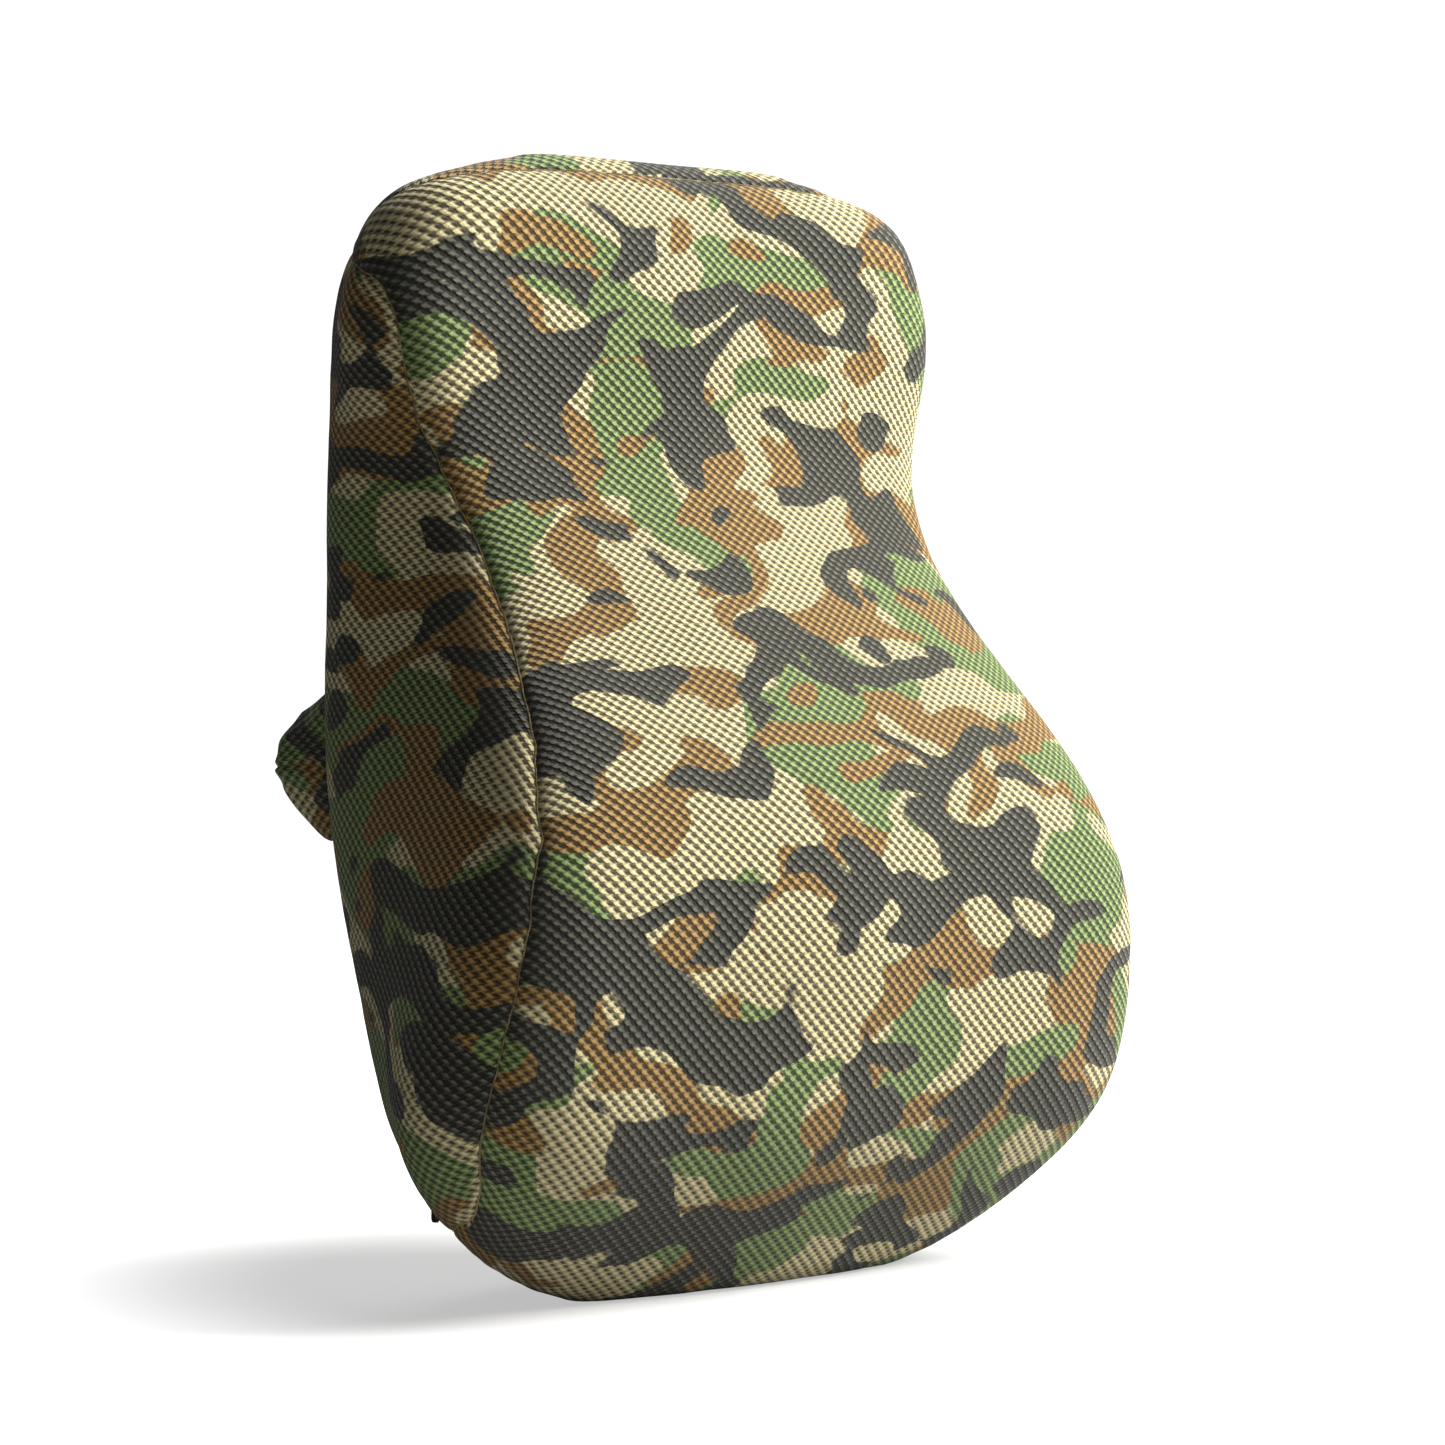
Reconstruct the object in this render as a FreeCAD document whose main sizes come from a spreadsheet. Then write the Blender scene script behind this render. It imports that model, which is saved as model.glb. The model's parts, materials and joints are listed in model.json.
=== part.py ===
"""Lumbar support cushion: foam core, liner, sewn mesh cover, zip and buckled back strap (mm, +Z up).

The origin is the centre of the patch that the cushion stands on. The front faces -Y.
"""

import math
import os

import FreeCAD
import Part
import Sketcher

doc = FreeCAD.newDocument("lumbar_cushion")

# ---------------------------------------------------------------- driving sizes
SIZES = {
    # overall form
    "height": 430, "lobe_height": 367, "waist_height": 280, "hip_height": 100, "seat_height": 102,
    "front_half_crest": 56, "front_half_lobe": 145, "front_half_waist": 127,
    "front_half_hip": 172, "front_half_foot": 84,
    "back_half_crest": 55, "back_half_lobe": 135, "back_half_waist": 137,
    "back_half_hip": 144, "back_half_foot": 68,
    "bulge_height": 150, "hollow_height": 338, "front_top": -3.5, "front_bulge": -98, "front_foot": -40,
    "chin_power": 1.7, "back_flat": 77.5, "back_foot": 40, "bend_height": 233, "tuck_height": 30,
    "front_crown": 12, "back_crown": 3, "back_tuck": 34, "side_crown": 4,
    "front_corner": 26, "back_corner": 18, "corner_share": 0.3,
    "shoulder_height": 350, "crest_depth": 14, "crest_place": 28.5, "end_steepness": 0.975,
    # layers, each a distance in from the outer surface
    "cover_thickness": 3, "liner_outer": 3.2, "liner_inner": 3.8, "foam_inset": 4,
    # seams
    "gore_bottom": 26, "gore_full_low": 44, "gore_full_high": 366, "gore_top": 388,
    "top_seam_place": 11.5, "panel_gap": 0.7, "seam_half": 0.5, "reach": 240, "gore_start": 50,
    # zip
    "zip_height": 42, "zip_half_angle": 27, "slot_half": 4,
    "tape_inner": 1.75, "tape_outer": 3.8, "tape_thickness": 0.8,
    "coil_inner": 0.45, "coil_outer": 1.6, "coil_thickness": 1.6, "chain_depth": -0.8,
    "slider_half_height": 3.1, "slider_half_angle": 1.15, "slider_park": 25.6, "plate_thickness": 0.9,
    "channel_half": 0.95, "post_half": 0.3, "stop_angle": 0.35, "bail_reach": 3.9, "bail_radius": 0.4,
    "bail_half_length": 3, "ring_radius": 2, "ring_wire": 0.35, "ring_drop": 1.2,
    "pull_length": 13.5, "pull_top": 1.9, "pull_bottom": 2.3, "pull_thickness": 1.7,
    "eye_radius": 1, "eye_slack": 0.25,
    # strap
    "strap_height": 198, "web_width": 25, "web_thickness": 1.3, "web_front": 98.3, "web_rear": 101.4,
    "web_outer_end": 112, "tail_end": -97, "fold_end": 50,
    "ear_x": 134, "ear_start": 55, "ear_rear": 103, "ear_bend": 14, "ear_inner_end": 98,
    "ear_thickness": 3, "ear_root_height": 57, "ear_tip_height": 27, "ear_root": 68, "ear_taper_end": 100,
    "ear_clearance": 0.3,
    "buckle_left": -16, "buckle_mouth": 12, "buckle_half": 16.5, "buckle_thickness": 10, "buckle_wall": 2,
    "buckle_bar": 2.6, "buckle_slot": 4.4, "side_wall": 3.5,
    "prong_left": -7, "prong_width": 5, "prong_span": 24, "prong_thickness": 5.4, "tongue_width": 5,
    "male_base": 8, "male_right": 29, "window_start": -5,
    "window_length": 11, "buckle_clearance": 0.3, "buckle_round": 1.6, "arm_thickness": 5.4,
    "bar_thickness": 1.4, "turn_gap": 0.2,
    "glide_start": -59, "glide_length": 18, "glide_bar": 3.2, "glide_side_depth": 1.4,
    "glide_centre_depth": 1.1, "glide_gap": 0.2, "glide_wall": 3.5,
    "keeper_start": -88, "keeper_length": 8, "keeper_thickness": 1, "keeper_gap": 0.3,
}

sheet = doc.addObject("Spreadsheet::Sheet", "sizes")
for row, (alias, number) in enumerate(SIZES.items(), start=1):
    sheet.set(f"A{row}", alias)
    sheet.set(f"B{row}", str(number))
    sheet.setAlias(f"B{row}", alias)
doc.recompute()


def size(alias):
    """A driving size, read back from the sheet."""
    return float(sheet.get(alias))


# ---------------------------------------------------------------- the cushion's form
def smooth(step):
    """0 to 1 with level ends."""
    step = min(1.0, max(0.0, step))
    return step * step * (3 - 2 * step)


def closing(step):
    """1 to 0 along a quarter ellipse that stops a little short of level."""
    step = min(1.0, max(0.0, step))
    last = math.sqrt(1 - size("end_steepness") ** 2)
    return (math.sqrt(1 - (size("end_steepness") * step) ** 2) - last) / (1 - last)


def between(low, high, share):
    return low + (high - low) * share


def half_width(z, face, hip_height):
    """Half the width of the front or back panel at a height."""
    lobe, waist = size("lobe_height"), size("waist_height")
    wide, narrow = size(face + "_half_lobe"), size(face + "_half_waist")
    hip = size(face + "_half_hip")
    if z >= lobe:
        return between(size(face + "_half_crest"), wide, closing((z - lobe) / (size("height") - lobe)))
    if z >= waist:
        return between(narrow, wide, smooth((z - waist) / (lobe - waist)))
    if z >= hip_height:
        return between(narrow, hip, smooth((waist - z) / (waist - hip_height)))
    return between(size(face + "_half_foot"), hip, closing((hip_height - z) / hip_height))


def crest_share(z):
    """1 below the shoulder, falling to 0 at the crest."""
    shoulder = size("shoulder_height")
    return closing((z - shoulder) / (size("height") - shoulder))


def front_line(z):
    """Y of the front panel's middle at a height."""
    bulge = size("bulge_height")
    if z >= bulge:
        rise = smooth((z - bulge) / (size("hollow_height") - bulge))
        y = between(size("front_bulge"), size("front_top"), rise)
    else:
        tuck = closing((bulge - z) / bulge) ** size("chin_power")
        y = between(size("front_foot"), size("front_bulge"), tuck)
    crest = size("crest_place") - size("crest_depth") / 2
    return between(crest, y, crest_share(z))


def back_line(z):
    """Y of the back panel's middle at a height."""
    bend = size("bend_height")
    y = between(size("back_foot"), size("back_flat"), closing((bend - z) / bend))
    crest = size("crest_place") + size("crest_depth") / 2
    return between(crest, y, crest_share(z))


def back_crown(z):
    """How far the back panel's middle stands behind its side edges."""
    tuck = smooth((size("bend_height") - z) / (size("bend_height") - size("tuck_height")))
    return between(size("back_crown"), size("back_tuck"), tuck) * between(0.1, 1, crest_share(z))


def half_section(z, inset):
    """Points round one half of the level section, front middle to back middle, moved in by the inset."""
    front_half = half_width(z, "front", size("hip_height")) - inset
    back_half = half_width(z, "back", size("seat_height")) - inset
    front = front_line(z) + inset
    back = back_line(z) - inset
    crown = size("front_crown") * between(0.1, 1, crest_share(z))
    tuck = back_crown(z)
    front_edge, back_edge = front + crown, back - tuck
    depth = back_edge - front_edge
    front_round = min(size("front_corner"), size("corner_share") * depth)
    back_round = min(size("back_corner"), size("corner_share") * depth)
    side = size("side_crown") * min(1, depth / 60)
    corner = 1 - math.sqrt(0.5)
    return [
        (0, front),
        (0.5 * front_half, front + 0.28 * crown),
        (front_half - front_round, front + 0.8 * crown),
        (front_half - corner * front_round, front_edge + corner * front_round),
        (front_half + 0.3 * side, front_edge + front_round),
        ((front_half + back_half) / 2 + side, (front_edge + front_round + back_edge - back_round) / 2),
        (back_half + 0.3 * side, back_edge - back_round),
        (back_half - corner * back_round, back_edge - corner * back_round),
        (back_half - back_round, back - 0.8 * tuck),
        (0.5 * back_half, back - 0.26 * tuck),
        (0, back),
    ]


def section_wire(share, inset, knots):
    """The closed section at a share of the height, as one periodic curve."""
    outline = half_section(share * size("height"), inset)
    outline += [(-x, y) for x, y in outline[-2:0:-1]]
    level = between(inset, size("height") - inset, share)
    curve = Part.BSplineCurve()
    points = [FreeCAD.Vector(x, y, level) for x, y in outline]
    curve.interpolate(Points=points, PeriodicFlag=True, Parameters=knots)
    right, left = curve, curve.copy()
    right.segment(knots[0], knots[10])
    left.segment(knots[10], knots[20])
    return Part.Wire([right.toShape(), left.toShape()])


def section_knots():
    """One set of knots for every section, from the spacing of the widest one."""
    outline = half_section(size("bulge_height"), 0)
    spans = [math.sqrt(math.dist(a, b)) for a, b in zip(outline, outline[1:])]
    knots = [0.0]
    for span in spans + spans[::-1]:
        knots.append(knots[-1] + span)
    return knots


def cushion_form(name, inset):
    """A solid of the whole cushion, moved in by the inset, lofted through its level sections."""
    knots = section_knots()
    low = [1 - math.sin(math.radians(angle)) for angle in (90, 78, 66, 54, 42, 28, 14)]
    shares = [size("hip_height") / size("height") * step for step in low]
    shares += [0.29, 0.35, 0.41, 0.47, 0.53, 0.59, 0.65, 0.71, 0.77, 0.83]
    top = 1 - size("lobe_height") / size("height")
    shares += [1 - top * (1 - math.sin(math.radians(angle))) for angle in (4, 20, 36, 50, 64, 77, 90)]
    form = doc.addObject("Part::Feature", name)
    form.Shape = Part.makeLoft([section_wire(share, inset, knots) for share in shares], True, False)
    return form


# ---------------------------------------------------------------- sizes worked out from the driving ones
def add_derived_sizes():
    """Keeps worked-out sizes in the sheet too, so that features can be bound to them."""
    zip_height = size("zip_height")
    half_chord, edge_y = half_section(zip_height, 0)[8]
    drop = back_line(zip_height) - edge_y
    zip_radius = (half_chord ** 2 + drop ** 2) / (2 * drop)
    rise = 2
    run = back_line(zip_height + rise) - back_line(zip_height - rise)
    worked_out = {
        "zip_radius": zip_radius,
        "zip_axis_y": back_line(zip_height) - zip_radius,
        "zip_lean": math.degrees(math.atan2(run, 2 * rise)),
        "web_middle": (size("web_front") + size("web_thickness") + size("web_rear")) / 2,
        "strap_half_depth": (size("web_rear") + size("web_thickness") - size("web_front")) / 2,
        "web_half": size("web_width") / 2,
        "buckle_half_depth": size("buckle_thickness") / 2,
        "bar_half_depth": size("bar_thickness") / 2,
        "arm_half_depth": size("arm_thickness") / 2,
        "prong_half_span": size("prong_span") / 2,
        "prong_half_depth": size("prong_thickness") / 2,
        "tongue_half": size("tongue_width") / 2,
        "glide_centre": size("glide_start") + (size("glide_length") - size("glide_bar")) / 2,
    }
    for line, (name, number) in enumerate(worked_out.items(), start=len(SIZES) + 1):
        sheet.set(f"A{line}", name)
        sheet.set(f"B{line}", repr(number))
        sheet.setAlias(f"B{line}", name)
    doc.recompute()


add_derived_sizes()
outer_form = cushion_form("outer_form", 0)
cover_hollow = cushion_form("cover_hollow", size("cover_thickness"))
liner_form = cushion_form("liner_form", size("liner_outer"))
liner_hollow = cushion_form("liner_hollow", size("liner_inner"))
foam_core = cushion_form("foam_core", size("foam_inset"))


def cut(name, base, tool):
    feature = doc.addObject("Part::Cut", name)
    feature.Base = base
    feature.Tool = tool
    return feature


def common(name, *shapes):
    feature = doc.addObject("Part::MultiCommon", name)
    feature.Shapes = list(shapes)
    return feature


def fuse(name, *shapes):
    feature = doc.addObject("Part::MultiFuse", name)
    feature.Shapes = list(shapes)
    return feature


inner_liner = cut("inner_liner", liner_form, liner_hollow)


# ---------------------------------------------------------------- seam lines, drawn in the side view
def back_seam(z):
    """Y of the seam down the cushion's rear corner, which runs forward over the top."""
    def corner_line(level):
        point = half_section(level, 0)[7]
        return point[1]
    top = size("gore_top")
    if z <= size("gore_bottom"):
        return corner_line(size("gore_bottom"))
    if z <= top:
        return corner_line(z)
    return between(corner_line(top), size("top_seam_place"), smooth((z - top) / (size("height") - top)))


def front_seam(z):
    """Y of the seam down the front corner."""
    return half_section(z, 0)[3][1]


def gore_fullness(z, low, high):
    """Share of the gore's depth that is left near its two rounded ends."""
    if z < size("gore_full_low"):
        return math.sqrt(max(0, 1 - ((size("gore_full_low") - z) / (size("gore_full_low") - low)) ** 2))
    if z > size("gore_full_high"):
        return math.sqrt(max(0, 1 - ((z - size("gore_full_high")) / (high - size("gore_full_high"))) ** 2))
    return 1


def side_region(name, outline, rearward, forward):
    """A slab across the cushion, between two distances, whose straight-sided outline is in the side view."""
    corners = [FreeCAD.Vector(0, y, z) for y, z in outline]
    face = doc.addObject("Part::Feature", name + "_outline")
    face.Shape = Part.Face(Part.makePolygon(corners + corners[:1]))
    slab = doc.addObject("Part::Extrusion", name)
    slab.Base = face
    slab.DirMode = "Custom"
    slab.Dir = FreeCAD.Vector(1, 0, 0)
    slab.Solid = True
    slab.setExpression("LengthFwd", forward)
    slab.setExpression("LengthRev", rearward)
    return slab


def gore_region(name, grow, side):
    """The leaf-shaped slab of one side gore, grown all round by a distance."""
    low, high = size("gore_bottom") - grow, size("gore_top") + grow
    steps = 18
    levels = [low + (high - low) * (1 - math.cos(math.pi * step / steps)) / 2 for step in range(steps + 1)]
    rear = [(back_seam(z) + grow, z) for z in levels]
    fore = []
    for rear_y, z in rear[1:-1]:
        fore.append((between(rear_y, front_seam(z) - grow, gore_fullness(z, low, high)), z))
    outline = rear + fore[::-1]
    if side > 0:
        return side_region(name, outline, "-sizes.gore_start", "sizes.reach")
    return side_region(name, outline, "sizes.reach", "-sizes.gore_start")


def seam_line():
    """Corners of the rear seam line from below the floor to above the crest, close together where it shows.

    Every region is cut along these same corners, so that neighbouring panels can't overlap.
    """
    low, high = size("gore_full_low"), size("gore_full_high")
    levels = [floor_level]
    for start, finish, steps in ((size("gore_bottom"), low, 3), (low, high, 5), (high, sky_level, 16)):
        levels += [between(start, finish, step / steps) for step in range(steps)]
    return [(back_seam(z), z) for z in levels + [sky_level]]


def seam_region(name, offset, side, low, high):
    """Everything in front of (side -1) or behind (side +1) the rear seam line, between two heights."""
    def on_line(level):
        for (y, z), (next_y, next_z) in zip(seam_corners, seam_corners[1:]):
            if z <= level <= next_z:
                return between(y, next_y, (level - z) / (next_z - z))
    inside = [corner for corner in seam_corners if low < corner[1] < high]
    line = [(y + offset, z) for y, z in [(on_line(low), low), *inside, (on_line(high), high)]]
    far = side * size("reach")
    return side_region(name, line + [(far, high), (far, low)], "sizes.reach", "sizes.reach")


margin = 20
floor_level, sky_level = -margin, size("height") + margin
gap, seam = size("panel_gap"), size("seam_half")
seam_corners = seam_line()
slot_low = size("zip_height") - size("slot_half")
slot_high = size("zip_height") + size("slot_half")

gore_rooms = [gore_region("gore_room_left", gap, -1), gore_region("gore_room_right", gap, 1)]
gores_and_hollow = fuse("gores_and_hollow", fuse("gores_grown", *gore_rooms), cover_hollow)


def panel(name, region, tool):
    """The part of the cover's thickness that lies inside a region."""
    return cut(name, common(name + "_part", outer_form, region), tool)


front_region = seam_region("front_region", -gap, -1, floor_level, sky_level)
back_region = seam_region("back_region", gap, 1, slot_high, sky_level)
base_region = seam_region("base_region", gap, 1, floor_level, slot_low)
cover_front = panel("cover_front", front_region, gores_and_hollow)
cover_back = panel("cover_back", back_region, gores_and_hollow)
cover_base = panel("cover_base", base_region, gores_and_hollow)
gore_left = panel("gore_left", gore_region("gore_left_region", -gap, -1), cover_hollow)
gore_right = panel("gore_right", gore_region("gore_right_region", -gap, 1), cover_hollow)


def gore_seam(name, side):
    """The closed line of sewn seam allowance round one gore."""
    grown, shrunk = gore_region(name + "_grown", seam, side), gore_region(name + "_shrunk", -seam, side)
    return panel(name, cut(name + "_slab", grown, shrunk), cover_hollow)


gore_seam_left = gore_seam("gore_seam_left", -1)
gore_seam_right = gore_seam("gore_seam_right", 1)


def cross_seam(name, low, high):
    """The sewn seam allowance between the front panel and the panel behind it, clear of the gores."""
    band = common(
        name + "_band",
        seam_region(name + "_rear", -seam, 1, low, high),
        seam_region(name + "_fore", seam, -1, low, high),
    )
    return panel(name, band, gores_and_hollow)


top_seam = cross_seam("top_seam", size("gore_full_high"), sky_level)
bottom_seam = cross_seam("bottom_seam", floor_level, size("gore_full_low"))


# ---------------------------------------------------------------- helpers for bound sizes
def total(*terms):
    """The sum of some cells, a leading minus taking one away, as a number and as an expression."""
    number = 0.0
    pieces = []
    for term in terms:
        sign, alias = (-1, term[1:]) if term.startswith("-") else (1, term)
        number += sign * size(alias)
        pieces.append(f"({sign}) * sizes.{alias}")
    return number, " + ".join(pieces)


def block(name, x, y, z):
    """A box whose start and span along each axis are sums of cells."""
    box = doc.addObject("Part::Box", name)
    for axis, side, (start, span) in zip("xyz", ("Length", "Width", "Height"), (x, y, z)):
        box.setExpression(f"Placement.Base.{axis}", total(*start)[1])
        box.setExpression(side, total(*span)[1])
    return box


def rounded(name, base, radius):
    """The base with every edge rounded."""
    fillet = doc.addObject("Part::Fillet", name)
    fillet.Base = base
    doc.recompute()
    fillet.Edges = [(index + 1, size(radius), size(radius)) for index in range(len(base.Shape.Edges))]
    return fillet


# ---------------------------------------------------------------- zip across the lower back
zip_axis = FreeCAD.Vector(0, size("zip_axis_y"), 0)


def zip_point(up, out):
    """A point of the zip's own frame at the middle of the back: up the surface and out of it."""
    lean = math.radians(size("zip_lean"))
    y = size("zip_axis_y") + size("zip_radius") + up * math.sin(lean) + out * math.cos(lean)
    return FreeCAD.Vector(0, y, size("zip_height") + up * math.cos(lean) - out * math.sin(lean))


def zip_arc(name, up, out, sweep):
    """A strip of rectangular section swept along the zip's arc, the same angle each way."""
    low_up, high_up = up
    low_out, high_out = out
    corners = [(low_up, low_out), (high_up, low_out), (high_up, high_out), (low_up, high_out)]
    section = doc.addObject("Part::Feature", name + "_section")
    section.Shape = Part.Face(Part.makePolygon([zip_point(*corner) for corner in corners + corners[:1]]))
    strip = doc.addObject("Part::Revolution", name)
    strip.Source = section
    strip.Axis = FreeCAD.Vector(0, 0, 1)
    strip.Base = zip_axis
    strip.Symmetric = True
    strip.Solid = True
    strip.setExpression("Angle", f"2 * sizes.{sweep}")
    return strip


depth = size("chain_depth")
tape_half = size("tape_thickness") / 2
coil_half = size("coil_thickness") / 2
tape_depths, coil_depths = (depth - tape_half, depth + tape_half), (depth - coil_half, depth + coil_half)
tape_rows = (size("tape_inner"), size("tape_outer"))
coil_rows = (size("coil_inner"), size("coil_outer"))
zip_tape_upper = zip_arc("zip_tape_upper", tape_rows, tape_depths, "zip_half_angle")
zip_coil_upper = zip_arc("zip_coil_upper", coil_rows, coil_depths, "zip_half_angle")
tape_rows = (-size("tape_outer"), -size("tape_inner"))
coil_rows = (-size("coil_outer"), -size("coil_inner"))
zip_tape_lower = zip_arc("zip_tape_lower", tape_rows, tape_depths, "zip_half_angle")
zip_coil_lower = zip_arc("zip_coil_lower", coil_rows, coil_depths, "zip_half_angle")


def turned(shape, degrees):
    """Places a shape made at the middle of the back at an angle round the zip's arc."""
    turn = FreeCAD.Rotation(FreeCAD.Vector(0, 0, 1), degrees)
    shape.Placement = FreeCAD.Placement(FreeCAD.Vector(), turn, zip_axis).multiply(shape.Placement)
    return shape


def zip_stop(name, side):
    half = size("coil_outer")
    stop = zip_arc(name, (-half, half), coil_depths, "stop_angle")
    return turned(stop, side * (size("zip_half_angle") + 2 * size("stop_angle")))


zip_stops = doc.addObject("Part::Compound", "zip_stops")
zip_stops.Links = [zip_stop("zip_stop_left", 1), zip_stop("zip_stop_right", -1)]

bail_centre = zip_point(0, size("bail_reach"))


def cylinder_across(name, centre, radius, half_length):
    """A round bar along X, centred on a point."""
    bar = doc.addObject("Part::Cylinder", name)
    bar.setExpression("Radius", f"sizes.{radius}")
    bar.setExpression("Height", f"2 * sizes.{half_length}")
    start = centre - FreeCAD.Vector(size(half_length), 0, 0)
    bar.Placement = FreeCAD.Placement(start, FreeCAD.Rotation(FreeCAD.Vector(0, 1, 0), 90))
    return bar


def bail_leg(name, side):
    """An upright that joins one end of the bail to the slider's outer plate."""
    leg = doc.addObject("Part::Box", name)
    leg.setExpression("Length", "2 * sizes.bail_radius")
    leg.setExpression("Width", "sizes.bail_reach - sizes.channel_half")
    leg.setExpression("Height", "2 * sizes.bail_radius")
    across = side * (size("bail_half_length") - size("bail_radius")) - size("bail_radius")
    lean = FreeCAD.Rotation(FreeCAD.Vector(1, 0, 0), -size("zip_lean"))
    corner = zip_point(-size("bail_radius"), size("channel_half"))
    leg.Placement = FreeCAD.Placement(corner + FreeCAD.Vector(across, 0, 0), lean)
    return leg


def make_slider():
    """Two plates round the coils, joined by a thin post, with the bail that holds the ring."""
    half, channel, plate = size("slider_half_height"), size("channel_half"), size("plate_thickness")
    outer = zip_arc(
        "slider_outer_plate", (-half, half), (depth + channel, depth + channel + plate), "slider_half_angle")
    inner = zip_arc(
        "slider_inner_plate", (-half, half), (depth - channel - plate, depth - channel), "slider_half_angle")
    post_rows = (-size("post_half"), size("post_half"))
    post = zip_arc("slider_post", post_rows, (depth - channel, depth + channel), "slider_half_angle")
    bail = cylinder_across("slider_bail", bail_centre, "bail_radius", "bail_half_length")
    legs = [bail_leg("bail_leg_left", -1), bail_leg("bail_leg_right", 1)]
    return turned(fuse("zip_slider", outer, inner, post, bail, *legs), size("slider_park"))


zip_slider = make_slider()

ring_centre = bail_centre - FreeCAD.Vector(0, 0, size("ring_drop"))
zip_ring = doc.addObject("Part::Torus", "zip_ring")
zip_ring.setExpression("Radius1", "sizes.ring_radius")
zip_ring.setExpression("Radius2", "sizes.ring_wire")
zip_ring.Placement = FreeCAD.Placement(ring_centre, FreeCAD.Rotation(FreeCAD.Vector(0, 1, 0), 90))
turned(zip_ring, size("slider_park"))


def make_pull():
    """A flat drop with a round eye, hung on the ring."""
    hang = size("ring_radius") + size("eye_radius") - size("ring_wire") - size("eye_slack")
    eye = ring_centre - FreeCAD.Vector(0, 0, hang)
    foot = eye - FreeCAD.Vector(0, 0, size("pull_length") - size("pull_top") - size("pull_bottom"))
    shape = {}
    for name, centre, radius in (
            ("pull_head", eye, "pull_top"), ("pull_foot", foot, "pull_bottom"),
            ("pull_eye", eye, "eye_radius")):
        disc = doc.addObject("Part::Cylinder", name)
        disc.setExpression("Radius", f"sizes.{radius}")
        disc.setExpression("Height", "sizes.pull_thickness")
        start = centre + FreeCAD.Vector(0, size("pull_thickness") / 2, 0)
        disc.Placement = FreeCAD.Placement(start, FreeCAD.Rotation(FreeCAD.Vector(1, 0, 0), 90))
        shape[name] = disc
    web = doc.addObject("Part::Wedge", "pull_web")
    drop = eye.z - foot.z
    top, bottom, half = size("pull_top"), size("pull_bottom"), size("pull_thickness") / 2
    sine = (bottom - top) / drop
    cosine = math.sqrt(1 - sine ** 2)
    web.Xmin, web.Xmax = -bottom * cosine, bottom * cosine
    web.X2min, web.X2max = -top * cosine, top * cosine
    web.Ymin, web.Ymax = 0, drop - (bottom - top) * sine
    web.Zmin, web.Zmax, web.Z2min, web.Z2max = -half, half, -half, half
    base = foot + FreeCAD.Vector(0, 0, bottom * sine)
    web.Placement = FreeCAD.Placement(base, FreeCAD.Rotation(FreeCAD.Vector(1, 0, 0), 90))
    plate = fuse("pull_plate", shape["pull_head"], shape["pull_foot"], web)
    return turned(cut("zip_pull", plate, shape["pull_eye"]), size("slider_park"))


zip_pull = make_pull()


# ---------------------------------------------------------------- strap behind the cushion
strap_room = cushion_form("strap_room", -size("ear_clearance"))


def bind(sketch, kind, geometry, point, terms):
    """Holds one point of a sketch at a bound distance from the sketch's origin."""
    number, expression = total(*terms)
    index = sketch.addConstraint(Sketcher.Constraint(kind, -1, 1, geometry, point, number))
    sketch.setExpression(f"Constraints[{index}]", expression)


def band_sketch(body, name, corners, arcs):
    """A closed sketch on the body's level plane, through corners whose coordinates are bound sums.

    arcs gives, for a corner's index, the centre of the arc from it to the next corner and whether that
    arc turns anticlockwise.
    """
    sketch = body.newObject("Sketcher::SketchObject", name)
    plane = [plane for plane in body.Origin.OriginFeatures if plane.Role == "XY_Plane"][0]
    sketch.AttachmentSupport = (plane, [""])
    sketch.MapMode = "FlatFace"
    places = [FreeCAD.Vector(total(*x)[0], total(*y)[0], 0) for x, y in corners]
    ends = []
    for index, start in enumerate(places):
        finish = places[(index + 1) % len(places)]
        if index not in arcs:
            ends.append((sketch.addGeometry(Part.LineSegment(start, finish)), 1, 2))
            continue
        (centre_x, centre_y), anticlockwise = arcs[index]
        middle = FreeCAD.Vector(total(*centre_x)[0], total(*centre_y)[0], 0)
        circle = Part.Circle(middle, FreeCAD.Vector(0, 0, 1), (start - middle).Length)
        first, last = (start, finish) if anticlockwise else (finish, start)
        angles = [math.atan2(point.y - middle.y, point.x - middle.x) for point in (first, last)]
        arc = sketch.addGeometry(Part.ArcOfCircle(circle, *angles))
        ends.append((arc, 1, 2) if anticlockwise else (arc, 2, 1))
        bind(sketch, "DistanceX", arc, 3, centre_x)
        bind(sketch, "DistanceY", arc, 3, centre_y)
    for index, (x, y) in enumerate(corners):
        geometry, start, _ = ends[index]
        before, _, finish = ends[index - 1]
        sketch.addConstraint(Sketcher.Constraint("Coincident", before, finish, geometry, start))
        arc_before = arcs.get((index - 1) % len(corners))
        centre_x = total(*arc_before[0][0])[0] if arc_before else None
        level_with_centre = arc_before and abs(places[index].x - centre_x) > 0.01
        if not level_with_centre:
            bind(sketch, "DistanceX", geometry, start, x)
        if level_with_centre or not arc_before:
            bind(sketch, "DistanceY", geometry, start, y)
    return sketch


def band(name, corners, arcs, height):
    """A band that stands on edge, centred on the strap's height: its plan is padded both ways."""
    body = doc.addObject("PartDesign::Body", name)
    sketch = band_sketch(body, name + "_plan", corners, arcs)
    pad = body.newObject("PartDesign::Pad", name + "_pad")
    pad.Profile = sketch
    pad.setExpression("Length", f"sizes.{height}")
    pad.SideType = "Symmetric"
    body.setExpression("Placement.Base.z", "sizes.strap_height")
    return body


def mirrored(terms, side):
    """The same sum on the other side of the cushion, when side is -1."""
    if side > 0:
        return terms
    return [term[1:] if term.startswith("-") else "-" + term for term in terms]


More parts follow.
